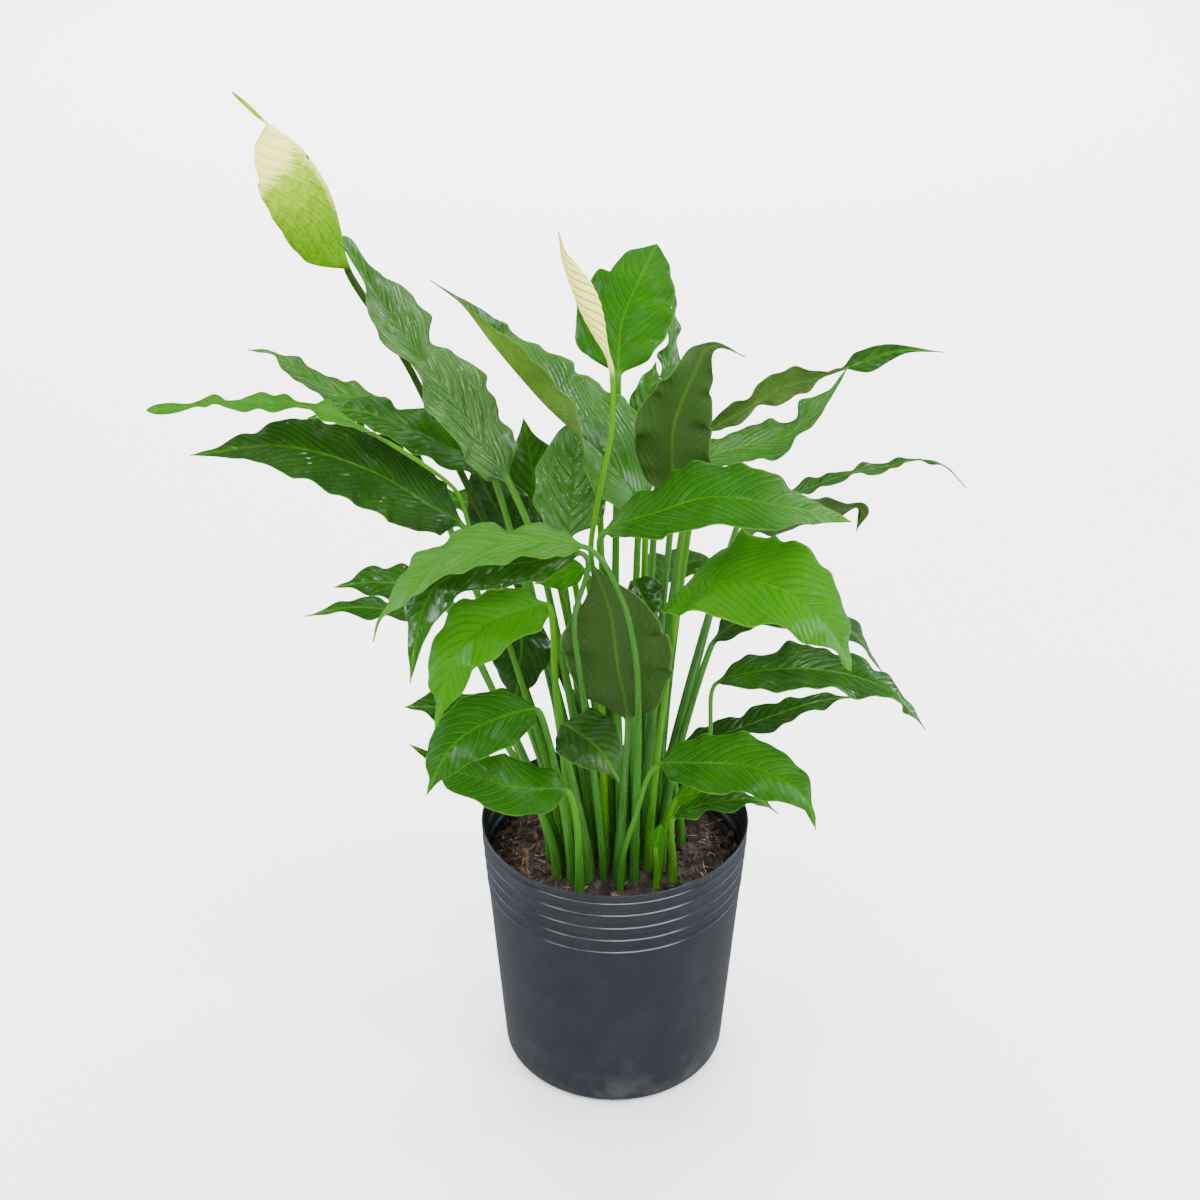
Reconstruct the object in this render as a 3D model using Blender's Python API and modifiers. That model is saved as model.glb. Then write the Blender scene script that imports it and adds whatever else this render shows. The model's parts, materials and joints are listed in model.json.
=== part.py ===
"""Potted peace lily: glossy leaves and two spathes in a black nursery pot.

The tables are in millimetres. The origin is the middle of the pot's base, +Z is up and -Y points
to the viewer. Each leaf is one closed solid: a stalk that stands in its own hole in the soil and a
thin waved blade with a rib under its middle.
"""
import math

import bmesh
import bpy
import numpy as np

MM = 0.001

# The pot: a one gallon nursery pot, measured in millimetres
POT_HEIGHT = 172.0
POT_TOP_RADIUS = 82.5
POT_BASE_RADIUS = 70.0
POT_WALL = 1.5
POT_FLOOR = 2.4
POT_EDGE_ROUND = 6.0
POT_SIDES = 32
POT_MOUTH_SQUEEZE = 0.04
GROOVE_HEIGHTS = (157.0, 147.0, 137.5, 128.0)
GROOVE_DEPTH = 0.9
GROOVE_HALF_HEIGHT = 1.6
DRAIN_HOLES = 6
DRAIN_RADIUS = 5.0
DRAIN_CIRCLE = 48.0

# The soil and the holes that the stalks stand in
SOIL_TOP = 150.0
SOIL_MOUND = 3.0
SOIL_BUMP = 1.2
SOIL_RINGS = 3
SOIL_SIDES = POT_SIDES
SEAT_GAP = 0.3
ROOT_DEPTH = 12.0
COLLAR_TOP = 157.0
HOLE_SIDES = 8

# The leaves
BLADE_THICKNESS = 0.8
ACROSS = (-1.0, -0.5, 0.0, 0.5, 1.0)
LINE_SAMPLES = 24
BEND_REACH = 90.0
RIB_SHARE = 1.3
NECK_LENGTH = 0.07
DRIP_AT = 0.9
DRIP_LENGTH = 0.09
TIP_HALF_WIDTH = 0.9
OTHER_SIDE_PHASE = 1.9
PHASE_STEP = 2.4

PLAIN_LEAF = dict(
    stalk=[], width=50, facing=(0, -0.5, 0.85), fold=14, fold_left=None, curl=22, ripple=0.05, waves=3.5,
    twist=(0, 0.5), pinch=(0.5, 0), drip=0.35, tail=0, base=3.8, top=2.1, peak=(0.7, 1.15), stem_steps=4,
    blade_steps=9,
)

# Each leaf: where its root stands, points of its stalk, the knee where the blade starts, points of the
# blade's middle line to the tip, its width, and the way its upper side faces
LEAVES = {
    "leaf_left_tall": dict(
        root=(-12, -15), stalk=[(-43, -15, 364)], knee=(-59, -20, 413),
        blade=[(-74, -24, 441), (-88, -28, 468), (-104, -31, 494), (-117, -33, 516), (-130, -35, 541),
               (-140, -35, 562)],
        width=42, facing=(0.35, -0.75, 0.55), fold=30, fold_left=38, ripple=0.07, waves=3,
        peak=(0.75, 1.3), drip=-0.5),
    "leaf_centre_big": dict(
        root=(8, -5), knee=(16, -15, 387),
        blade=[(-2, -18, 423), (-31, -22, 465), (-62, -24, 505), (-85, -22, 526), (-98, -18, 533)],
        width=66, facing=(0.45, -0.7, 0.55), fold_left=45, peak=(0.6, 1.4)),
    "leaf_top": dict(
        root=(-1, 8), knee=(1, 10, 463), blade=[(3, 38, 483), (14, 75, 496), (24, 100, 507)],
        width=54, facing=(-0.1, -0.8, 0.6), peak=(0.6, 0.9), drip=-0.2),
    "leaf_top_narrow": dict(
        root=(16, 27), knee=(27, 58, 427), blade=[(32, 72, 453), (34, 82, 488)],
        width=22, facing=(0.85, -0.45, 0.2), blade_steps=7),
    "leaf_turned_back": dict(
        root=(17, -9), knee=(31, -30, 408),
        blade=[(30, -40, 455), (39, -50, 490), (49, -52, 509), (66, -55, 504)],
        width=42, facing=(0.2, 0.9, 0.3), peak=(0.65, 1.5)),
    "leaf_centre_small": dict(
        root=(8, 6), knee=(15, 12, 433), blade=[(18, 14, 453), (22, 16, 470)],
        width=20, facing=(0.2, -0.9, 0.4), blade_steps=6),
    "leaf_upright_dark": dict(
        root=(-7, 20), knee=(-38, 28, 348), blade=[(-47, 36, 386), (-53, 41, 424)],
        width=44, facing=(0.1, -0.9, 0.4)),
    "leaf_upright_glossy": dict(
        root=(-1, -2), knee=(-27, 0, 366), blade=[(-25, 5, 390), (-23, 10, 416), (-15, 20, 445)],
        width=45, facing=(0.2, -0.9, 0.4)),
    "leaf_right_long_twisted": dict(
        root=(17, 8), knee=(48, 30, 416),
        blade=[(68, 35, 429), (94, 42, 442), (114, 45, 447), (134, 50, 452), (161, 50, 462), (186, 45, 463)],
        width=27, facing=(-0.35, 0.8, 0.45), twist=(120, 0.62), peak=(0.8, 1.4), pinch=(0.6, 0.6),
        blade_steps=12),
    "leaf_right_short_twisted": dict(
        root=(24, -1), knee=(44, 5, 410),
        blade=[(73, 10, 421), (95, 12, 426), (106, 13, 437), (118, 15, 450), (128, 15, 467)],
        width=32, facing=(-0.3, -0.2, 0.9), pinch=(0.62, 0.35)),
    "leaf_right_thin": dict(
        root=(31, 18), knee=(78, 60, 355),
        blade=[(112, 75, 359), (143, 85, 366), (168, 95, 366), (186, 100, 368), (203, 103, 362),
               (218, 105, 346)],
        width=19, facing=(-0.1, 0.15, 1)),
    "leaf_right_curled": dict(
        root=(27, 9), knee=(69, 10, 361),
        blade=[(101, 20, 369), (130, 25, 374), (142, 24, 374), (140, 20, 361)],
        width=40, facing=(-0.1, 0.75, 0.6)),
    "leaf_right_front_bright": dict(
        root=(4, -22), stalk=[(-2, -36, 348)], knee=(-8, -62, 403),
        blade=[(22, -80, 427), (50, -90, 441), (84, -88, 435), (106, -84, 428), (123, -80, 421)],
        width=46, fold=28, fold_left=8, peak=(0.9, 1.0)),
    "leaf_right_broad": dict(
        root=(20, -24), knee=(36, -60, 367),
        blade=[(55, -90, 393), (78, -108, 399), (97, -118, 394), (112, -122, 378), (122, -125, 357)],
        width=64, fold=24, fold_left=8, peak=(0.5, 0.8), drip=0.5),
    "leaf_right_behind_broad": dict(
        root=(27, -10), knee=(56, -10, 302),
        blade=[(69, -12, 318), (100, -15, 330), (132, -20, 321), (156, -20, 289)],
        width=26, facing=(0, -0.3, 0.95), blade_steps=8),
    "leaf_right_arching": dict(
        root=(29, -20), stalk=[(55, -26, 245)], knee=(57, -30, 287),
        blade=[(77, -35, 299), (105, -40, 305), (133, -42, 302), (160, -42, 289), (180, -40, 263)],
        width=40, facing=(0, -0.1, 0.97)),
    "leaf_right_low_dark": dict(
        root=(41, 1), knee=(37, -2, 221),
        blade=[(64, 6, 228), (95, 16, 235), (125, 24, 241), (156, 30, 241)],
        width=26, facing=(-0.1, 0, 0.95), stem_steps=2, blade_steps=8),
    "leaf_right_low_bright": dict(
        root=(3, -45), stalk=[(12, -56, 214)], knee=(23, -68, 257),
        blade=[(47, -78, 266), (72, -88, 271), (94, -93, 264), (107, -95, 251), (113, -95, 232)], width=38),
    "leaf_right_low_thin": dict(
        root=(35, -36), knee=(34, -52, 209),
        blade=[(49, -58, 222), (64, -60, 227), (81, -60, 228), (95, -60, 218)],
        width=18, facing=(0, -0.1, 0.98), base=3.4, top=1.6, stem_steps=2, blade_steps=7),
    "leaf_right_low_pale": dict(
        root=(26, -33), knee=(36, -38, 212), blade=[(50, -42, 220), (63, -44, 226)],
        width=20, base=3.4, top=1.6, stem_steps=2, blade_steps=6),
    "leaf_spear": dict(
        root=(25, -43), knee=(24, -49, 184), blade=[(26, -50, 196), (27, -51, 204)],
        width=10, facing=(0, -0.9, 0.4), base=3.0, top=1.5, stem_steps=2, blade_steps=5),
    "leaf_middle_underside": dict(
        root=(3, -33), knee=(7, -45, 272), blade=[(1, -55, 317), (-3, -60, 352), (-12, -60, 383)],
        width=62, facing=(0.1, 0.8, 0.4), peak=(0.8, 1.0)),
    "leaf_middle_small": dict(
        root=(12, -17), knee=(9, -33, 357), blade=[(16, -35, 347), (24, -36, 333)],
        width=26, facing=(0.1, -0.6, 0.8), blade_steps=6),
    "leaf_left_front_pale": dict(
        root=(12, -35), stalk=[(13, -50, 263), (11, -67, 327), (3, -79, 373)], knee=(-14, -85, 407),
        blade=[(-45, -95, 417), (-76, -108, 420), (-96, -115, 413), (-113, -119, 399), (-123, -121, 385),
               (-127, -122, 373)],
        width=32, facing=(-0.05, -0.2, 0.98), blade_steps=12),
    "leaf_left_front_shaded": dict(
        root=(-7, -34), stalk=[(-18, -52, 291), (-23, -70, 355)], knee=(-17, -75, 398),
        blade=[(-46, -82, 398), (-75, -92, 400), (-94, -105, 397), (-102, -113, 384), (-106, -117, 365),
               (-109, -120, 346)],
        width=32, facing=(-0.1, -0.5, 0.86), blade_steps=12),
    "leaf_middle_tip": dict(
        root=(-3, -12), knee=(-17, -20, 357), blade=[(-32, -22, 354), (-46, -25, 352)],
        width=18, blade_steps=6),
    "leaf_left_small_upper": dict(
        root=(-39, -12), knee=(-95, -45, 358), blade=[(-108, -50, 364), (-132, -56, 371), (-154, -62, 371)],
        width=26, facing=(0, -0.4, 0.9), blade_steps=7),
    "leaf_left_small_lower": dict(
        root=(-34, -21), knee=(-93, -66, 361), blade=[(-117, -76, 365), (-143, -82, 370), (-167, -86, 367)],
        width=18, facing=(0, -0.2, 0.97), blade_steps=7),
    "leaf_left_drooping": dict(
        root=(-25, -24), stalk=[(-34, -46, 294)], knee=(-37, -70, 364),
        blade=[(-54, -88, 371), (-72, -105, 371), (-85, -115, 360), (-91, -120, 342), (-97, -122, 318)],
        width=38, facing=(-0.2, -0.6, 0.75)),
    "leaf_left_low_small": dict(
        root=(-35, -31), knee=(-74, -60, 288), blade=[(-96, -70, 298), (-117, -80, 305)],
        width=28, facing=(0, -0.4, 0.9), blade_steps=7),
    "leaf_left_low_drooping": dict(
        root=(-26, -35), knee=(-43, -81, 303),
        blade=[(-61, -92, 307), (-77, -103, 306), (-90, -110, 298), (-98, -113, 284), (-104, -115, 270)],
        width=38, facing=(-0.1, -0.6, 0.8)),
    "leaf_left_lowest": dict(
        root=(-21, -45), knee=(-27, -70, 240),
        blade=[(-49, -82, 251), (-70, -92, 263), (-92, -98, 276), (-113, -102, 295)],
        width=34, facing=(0.1, -0.6, 0.8), stem_steps=3),
    "leaf_middle_dull": dict(
        root=(-16, -36), knee=(-31, -60, 279), blade=[(-19, -74, 282), (-7, -90, 280), (2, -97, 266)],
        width=36, facing=(0.1, -0.7, 0.7), stem_steps=3, blade_steps=8),
    "leaf_left_hanging": dict(
        root=(-17, -6), knee=(-49, -12, 321), blade=[(-55, -16, 298), (-59, -17, 264)],
        width=34, facing=(0, -1, 0.1), fold=5, ripple=0.02, blade_steps=7),
    "leaf_left_high_narrow": dict(
        root=(-33, 11), knee=(-125, 30, 432),
        blade=[(-157, 35, 442), (-179, 40, 453), (-193, 42, 463), (-208, 42, 466)],
        width=28, facing=(0, 0, 1), blade_steps=8),
    "leaf_left_far_thin": dict(
        root=(-29, -11), stalk=[(-81, -30, 390), (-88, -35, 417)], knee=(-120, -45, 449),
        blade=[(-151, -52, 471), (-176, -55, 477), (-207, -57, 479), (-225, -58, 477), (-245, -60, 476)],
        width=32, facing=(0, 0.2, 0.97), pinch=(0.82, 0.9), peak=(0.6, 0.7), blade_steps=12),
    "leaf_left_high_broad": dict(
        root=(-20, 3), knee=(-70, -4, 413),
        blade=[(-97, -17, 436), (-120, -24, 452), (-144, -25, 460), (-167, -22, 454)],
        width=36, facing=(0.1, -0.3, 0.9)),
    "leaf_left_long": dict(
        root=(-29, -1), knee=(-85, -15, 382),
        blade=[(-103, -22, 400), (-135, -35, 429), (-178, -45, 448), (-227, -50, 445)],
        width=46, facing=(0.1, -0.6, 0.75), waves=6, blade_steps=12),
    "leaf_left_upright_olive": dict(
        root=(-21, 13), knee=(-56, 20, 344), blade=[(-72, 22, 382), (-83, 22, 407)],
        width=40, facing=(0.2, -0.8, 0.5)),
    "leaf_back_left": dict(
        root=(-16, 29), knee=(-37, 46, 364), blade=[(-51, 80, 371), (-67, 116, 360), (-80, 155, 322)],
        width=44, facing=(-0.2, 0.35, 0.9), blade_steps=8),
    "leaf_back_middle": dict(
        root=(-4, 31), knee=(-9, 40, 371), blade=[(-9, 85, 374), (-8, 130, 356), (-5, 180, 309)],
        width=48, facing=(0, 0.45, 0.9)),
    "leaf_back_right": dict(
        root=(26, 28), knee=(46, 50, 363), blade=[(55, 88, 365), (63, 128, 344), (71, 165, 300)],
        width=46, facing=(0.2, 0.35, 0.9)),
    "leaf_back_right_low": dict(
        root=(12, 39), knee=(25, 58, 300), blade=[(41, 92, 298), (65, 120, 285), (89, 145, 248)],
        width=42, facing=(0.1, 0.2, 0.97), stem_steps=3, blade_steps=8),
    "leaf_back_low": dict(
        root=(1, 39), knee=(0, 45, 272), blade=[(-1, 85, 268), (-3, 120, 245), (-5, 150, 196)],
        width=48, facing=(0, 0.45, 0.9), stem_steps=3, blade_steps=8),
    "leaf_back_far_left": dict(
        root=(-26, 22), knee=(-56, 35, 342), blade=[(-76, 62, 352), (-107, 90, 347), (-138, 118, 327)],
        width=38, facing=(-0.1, 0.2, 0.97), blade_steps=8),
}

# The tall flower: its spathe is folded along the middle line and open to the left
TALL_FLOWER = dict(
    root=(-10, 5), stalk=[(-26, 7, 253), (-48, 11, 308), (-83, 8, 394), (-114, 8, 470), (-127, 4, 497)],
    knee=(-143, 0, 529),
    blade=[(-146, 0, 550), (-151, 0, 574), (-164, 0, 597), (-180, 0, 610), (-188, 0, 619), (-196, 0, 626)],
    width=66, facing=(-0.86, -0.26, -0.44), fold=55, curl=-45, ripple=0, base=3.6, top=2.0,
    peak=(0.9, 0.95), tail=0.2, drip=0, stem_steps=7, blade_steps=14)
SPADIX_RADIUS = 4.2
SPADIX_STIPE_RADIUS = 1.3
SPADIX_FROM = 0.08
SPADIX_TO = 0.62
SPADIX_HEIGHTS = ((SPADIX_FROM, 3.0), (0.2, 13.5), (0.4, 16.0), (SPADIX_TO, 14.0))
SPADIX_STIPE_END = 0.14
SPADIX_SWELL_LENGTH = 0.12
SPADIX_ROUND_FROM = 0.75
SPADIX_SIDES = 12
SPADIX_STEPS = 14
SPADIX_KNOB = 0.06

# The furled flower: a rolled bud whose edge winds once round it
FURLED_FLOWER = dict(
    root=(-6, -24), stalk=[(-10, -34, 347), (-14, -49, 388), (-8, -59, 434), (-3, -58, 463)],
    knee=(-2, -54, 493), blade=[(-7, -50, 528), (-19, -47, 548), (-30, -45, 569)],
    facing=(0, -1, 0), base=3.4, top=1.7)
BUD_RADIUS = 5.6
BUD_TIP_RADIUS = 0.7
BUD_EDGE_STEP = 0.24
BUD_TURN = 2.2
BUD_SIDES = 10
BUD_STEM_STEPS = 9
BUD_STEPS = 12

# Colours as linear red, green and blue
BRIGHT_GREEN = (0.060, 0.260, 0.020)
DEEP_GREEN = (0.020, 0.110, 0.020)
SPATHE_GREEN = (0.350, 0.500, 0.080)
SPADIX_CREAM = (0.600, 0.580, 0.300)
BUD_CREAM = (0.750, 0.680, 0.480)
POT_BLACK = (0.025, 0.028, 0.034)
SOIL_BROWN = (0.035, 0.020, 0.014)


def clear_scene():
    for thing in list(bpy.data.objects):
        bpy.data.objects.remove(thing, do_unlink=True)


def make_material(name, colour, roughness):
    material = bpy.data.materials.new(name)
    material.use_nodes = True
    shader = material.node_tree.nodes["Principled BSDF"]
    shader.inputs["Base Color"].default_value = (*colour, 1)
    shader.inputs["Roughness"].default_value = roughness
    shader.inputs["Metallic"].default_value = 0
    return material


def named_collection(name):
    """The collection of this name, made and linked to the scene when it is first asked for."""
    collection = bpy.data.collections.get(name)
    if collection is None:
        collection = bpy.data.collections.new(name)
        bpy.context.scene.collection.children.link(collection)
    return collection


def place(obj, material):
    """Give the object its material and put it with the plant's other parts."""
    obj.data.materials.clear()
    obj.data.materials.append(material)
    for old in list(obj.users_collection):
        old.objects.unlink(obj)
    named_collection("potted_peace_lily").objects.link(obj)
    return obj


def new_object(name, points, faces):
    """A mesh object from points in millimetres."""
    mesh = bpy.data.meshes.new(name)
    mesh.from_pydata([tuple(MM * float(c) for c in p) for p in points], [], faces)
    obj = bpy.data.objects.new(name, mesh)
    bpy.context.scene.collection.objects.link(obj)
    return obj


def smooth_sides(obj, sharp_above_degrees):
    for polygon in obj.data.polygons:
        polygon.use_smooth = True
    obj.data.set_sharp_from_angle(angle=math.radians(sharp_above_degrees))


def unit(v):
    return v / np.linalg.norm(v)


def ease(x):
    x = min(max(x, 0.0), 1.0)
    return x * x * (3 - 2 * x)


def smooth_line(points):
    """A smooth line through the points, upright at the soil, and the sample number of each point."""
    places = np.asarray(points, float)
    steps = np.diff(places, axis=0)
    lengths = np.linalg.norm(steps, axis=1)
    ways = steps / lengths[:, None]
    upright = np.array([0.0, 0.0, 1.0])
    tangents = [upright, upright] + [unit(a + b) for a, b in zip(ways[1:-1], ways[2:])] + [ways[-1]]
    reaches = [min(a, b, BEND_REACH) for a, b in zip(lengths[:-1], lengths[1:])]
    reaches = [lengths[0], *reaches, lengths[-1]]
    reaches_out = list(reaches)
    reaches_out[1] = min(lengths[1], BEND_REACH)
    line = [places[0]]
    marks = [0]
    for i in range(len(lengths)):
        leaving = reaches_out[i] * tangents[i]
        arriving = reaches[i + 1] * tangents[i + 1]
        for k in range(1, LINE_SAMPLES + 1):
            s = k / LINE_SAMPLES
            blend = 3 * s**2 - 2 * s**3
            line.append((1 - blend) * places[i] + blend * places[i + 1]
                        + (s**3 - 2 * s**2 + s) * leaving + (s**3 - s**2) * arriving)
        marks.append(len(line) - 1)
    return np.array(line), marks


def carried_frame(line, facing, start):
    """Tangents and upper-side normals, carried both ways from the sample where the side is known."""
    tangents = np.gradient(line, axis=0)
    tangents /= np.linalg.norm(tangents, axis=1)[:, None]
    facing = np.asarray(facing, float)
    normals = np.zeros_like(line)
    normals[start] = unit(facing - np.dot(facing, tangents[start]) * tangents[start])
    for i in range(start + 1, len(line)):
        normals[i] = unit(normals[i - 1] - np.dot(normals[i - 1], tangents[i]) * tangents[i])
    for i in range(start - 1, -1, -1):
        normals[i] = unit(normals[i + 1] - np.dot(normals[i + 1], tangents[i]) * tangents[i])
    return tangents, normals


class MiddleLine:
    """The line of a stalk and its blade, with a frame that can be read at any length along it."""

    def __init__(self, leaf):
        x, y = leaf["root"]
        points = [(x, y, SOIL_TOP - ROOT_DEPTH), (x, y, COLLAR_TOP)]
        points += [*leaf["stalk"], leaf["knee"], *leaf["blade"]]
        self.line, marks = smooth_line(points)
        gaps = np.linalg.norm(np.diff(self.line, axis=0), axis=1)
        self.run = np.concatenate([[0], np.cumsum(gaps)])
        self.collar = self.run[marks[1]]
        self.knee = self.run[marks[2 + len(leaf["stalk"])]]
        self.end = self.run[-1]
        middle = int(np.searchsorted(self.run, self.knee + 0.45 * (self.end - self.knee)))
        self.tangents, self.normals = carried_frame(self.line, leaf["facing"], middle)
        self.twist, self.twist_at = leaf["twist"]

    def blade_share(self, run):
        return (run - self.knee) / (self.end - self.knee)

    def run_at(self, share):
        return self.knee + share * (self.end - self.knee)

    def frame(self, run):
        """The place, the way across and the upper side's normal at this length along the line."""
        place_here = np.array([np.interp(run, self.run, self.line[:, k]) for k in range(3)])
        tangent = unit(np.array([np.interp(run, self.run, self.tangents[:, k]) for k in range(3)]))
        normal = np.array([np.interp(run, self.run, self.normals[:, k]) for k in range(3)])
        normal = unit(normal - np.dot(normal, tangent) * tangent)
        side = np.cross(tangent, normal)
        angle = math.radians(self.twist) * ease((self.blade_share(run) - self.twist_at) / 0.3 + 0.5)
        turned_normal = math.cos(angle) * normal + math.sin(angle) * side
        turned_side = math.cos(angle) * side - math.sin(angle) * normal
        return place_here, turned_side, turned_normal


def half_width(leaf, t):
    """The blade's half width: round at the base, widest before the middle, drawn out at the tip."""
    rise, fall = leaf["peak"]
    widest = rise / (rise + fall)
    body = min(t / (1 - leaf["tail"]), 1.0)
    shape = (body / widest) ** rise * ((1 - body) / (1 - widest)) ** fall
    where, depth = leaf["pinch"]
    neck = 1 - depth * math.exp(-((t - where) / NECK_LENGTH) ** 2)
    drawn = 1 - leaf["drip"] * math.exp(-((t - DRIP_AT) / DRIP_LENGTH) ** 2)
    return max(leaf["width"] / 2 * shape * neck * drawn, TIP_HALF_WIDTH)


def blade_point(leaf, t, u, phase):
    """Where the upper side lies across the blade: sideways, height, and its slope there."""
    half = half_width(leaf, t)
    out = abs(u)
    fold = leaf["fold"]
    if u < 0 and leaf["fold_left"] is not None:
        fold = leaf["fold_left"]
    opening = ease(t / 0.1)
    slope = math.radians(fold * opening - leaf["curl"] * out)
    chord = math.radians(fold * opening - leaf["curl"] * out / 2)
    other_side = OTHER_SIDE_PHASE if u < 0 else 0.0
    wave = math.sin(2 * math.pi * leaf["waves"] * t + phase + other_side)
    lift = leaf["ripple"] * leaf["width"] * out**1.5 * wave * ease(t / 0.15) * ease((1 - t) / 0.2)
    return half * u * math.cos(chord), half * out * math.sin(chord) + lift, slope


def stalk_ring(radius, count):
    """A regular ring of points: the upper half from left to right, then the lower half back."""
    step = math.pi / count
    angles = [step * (k + 0.5) for k in range(count)]
    upper = [(-radius * math.cos(a), radius * math.sin(a)) for a in angles]
    return upper + [(x, -z) for x, z in reversed(upper)]


def blade_ring(leaf, t, phase):
    """The blade's section: the upper side from left to right, then the lower side back."""
    upper = []
    lower = []
    for u in ACROSS:
        x, z, slope = blade_point(leaf, t, u, phase)
        upper.append((x, z))
        if u == 0:
            rib = leaf["top"] * RIB_SHARE * (1 - t)
            lower.append((x, z - BLADE_THICKNESS / math.cos(slope) - rib))
        else:
            way = math.copysign(1, u)
            lower.append((x + way * BLADE_THICKNESS * math.sin(slope), z - BLADE_THICKNESS * math.cos(slope)))
    return upper + lower[::-1]


def stalk_radius(leaf, middle, run):
    grown = min(run / middle.knee, 1.0)
    return leaf["top"] + (leaf["base"] - leaf["top"]) * (1 - grown) ** 1.2


def leaf_rings(leaf, phase):
    """Rings of points from the root to the tip."""
    middle = MiddleLine(leaf)
    stalk_runs = [0, *np.linspace(middle.collar, middle.knee, leaf["stem_steps"] + 1)]
    blade_runs = [middle.run_at(k / leaf["blade_steps"]) for k in range(1, leaf["blade_steps"] + 1)]
    rings = []
    for run in [*stalk_runs, *blade_runs]:
        here, side, normal = middle.frame(run)
        t = min(max(middle.blade_share(run), 0.0), 1.0)
        section = stalk_ring(stalk_radius(leaf, middle, run), len(ACROSS))
        if t > 0:
            share = ease(t / 0.1)
            flat = blade_ring(leaf, t, phase)
            section = [((1 - share) * a + share * c, (1 - share) * b + share * d)
                       for (a, b), (c, d) in zip(section, flat)]
        rings.append([here + x * side + z * normal for x, z in section])
    return rings


def loft(rings):
    """Triangles over the rings and across both ends; the two faces of a blade are split alike."""
    count = len(rings[0])
    half = count // 2
    faces = []
    for i in range(len(rings) - 1):
        for k in range(count):
            a = i * count + k
            b = i * count + (k + 1) % count
            c = a + count
            d = b + count
            faces += [(a, b, d), (a, d, c)] if k % half < half // 2 else [(a, b, c), (b, d, c)]
    last = (len(rings) - 1) * count
    faces += [(0, k + 1, k) for k in range(1, count - 1)]
    faces += [(last, last + k, last + k + 1) for k in range(1, count - 1)]
    return faces


def make_leaf(name, leaf, phase, material):
    rings = leaf_rings(leaf, phase)
    obj = new_object(name, [p for ring in rings for p in ring], loft(rings))
    smooth_sides(obj, 50)
    return place(obj, material)


def make_spadix(name, flower, material):
    """The knobbly spike inside the tall spathe, on a short stipe just clear of the fold."""
    middle = MiddleLine(flower)
    rings = []
    for i in range(SPADIX_STEPS + 1):
        share = i / SPADIX_STEPS
        t = SPADIX_FROM + (SPADIX_TO - SPADIX_FROM) * share
        here, side, normal = middle.frame(middle.run_at(t))
        height = np.interp(t, [a for a, b in SPADIX_HEIGHTS], [b for a, b in SPADIX_HEIGHTS])
        swell = ease((t - SPADIX_STIPE_END) / SPADIX_SWELL_LENGTH)
        past = max(share - SPADIX_ROUND_FROM, 0) / (1.01 - SPADIX_ROUND_FROM)
        radius = SPADIX_STIPE_RADIUS + (SPADIX_RADIUS * math.sqrt(1 - past**2) - SPADIX_STIPE_RADIUS) * swell
        ring = []
        for k in range(SPADIX_SIDES):
            angle = 2 * math.pi * k / SPADIX_SIDES
            knob = 1 + SPADIX_KNOB * swell * (1 if (i + k) % 2 else -1)
            away = -math.cos(angle) * side + math.sin(angle) * normal
            ring.append(here + height * normal + radius * knob * away)
        rings.append(ring)
    obj = new_object(name, [p for ring in rings for p in ring], loft(rings))
    smooth_sides(obj, 60)
    return place(obj, material)


def make_furled_flower(name, flower, material):
    """A stalk that ends in a rolled bud; the section is a spiral with one step at the rolled edge."""
    middle = MiddleLine(flower)
    runs = [0, *np.linspace(middle.collar, middle.knee, BUD_STEM_STEPS + 1)]
    runs += [middle.run_at(k / BUD_STEPS) for k in range(1, BUD_STEPS + 1)]
    rings = []
    for run in runs:
        here, side, normal = middle.frame(run)
        t = max(middle.blade_share(run), 0.0)
        stem = stalk_radius(flower, middle, run)
        bud = BUD_TIP_RADIUS + BUD_RADIUS * (t / 0.4) ** 0.8 * (max(1 - t, 0) / 0.6) ** 1.2
        share = ease(t / 0.1)
        radius = (1 - share) * stem + share * bud
        ring = []
        for k in range(BUD_SIDES):
            angle = 2 * math.pi * k / BUD_SIDES - BUD_TURN * t
            rolled = 1 + share * BUD_EDGE_STEP * (k / (BUD_SIDES - 1) - 0.5)
            away = -math.cos(angle) * side + math.sin(angle) * normal
            ring.append(here + radius * rolled * away)
        rings.append(ring)
    obj = new_object(name, [p for ring in rings for p in ring], loft(rings))
    smooth_sides(obj, 50)
    return place(obj, material)


def wall_radius(z):
    return POT_BASE_RADIUS + (POT_TOP_RADIUS - POT_BASE_RADIUS) * z / POT_HEIGHT


def pot_profile():
    """The pot's half section in millimetres, from the middle of the base round to the inner floor."""
    points = [(0.0, 0.0)]
    for k in range(4):
        angle = math.radians(90 * k / 3)
        points.append((wall_radius(POT_EDGE_ROUND) - POT_EDGE_ROUND * (1 - math.sin(angle)),
                       POT_EDGE_ROUND * (1 - math.cos(angle))))
    for z in reversed(GROOVE_HEIGHTS):
        points.append((wall_radius(z - GROOVE_HALF_HEIGHT), z - GROOVE_HALF_HEIGHT))
        points.append((wall_radius(z) - GROOVE_DEPTH, z))
        points.append((wall_radius(z + GROOVE_HALF_HEIGHT), z + GROOVE_HALF_HEIGHT))
    rim = POT_TOP_RADIUS
    points += [(rim, POT_HEIGHT - 1), (rim - 0.5, POT_HEIGHT), (rim - POT_WALL, POT_HEIGHT)]
    inner_floor = wall_radius(POT_FLOOR + 4) - POT_WALL
    points += [(inner_floor, POT_FLOOR + 4), (inner_floor - 4, POT_FLOOR), (0.0, POT_FLOOR)]
    return points


def squeeze_mouth(mesh):
    """The soft mouth is pressed a little from front to back, the more the higher up."""
    for vertex in mesh.vertices:
        vertex.co.y *= 1 - POT_MOUTH_SQUEEZE * vertex.co.z / (MM * POT_HEIGHT)


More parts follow.
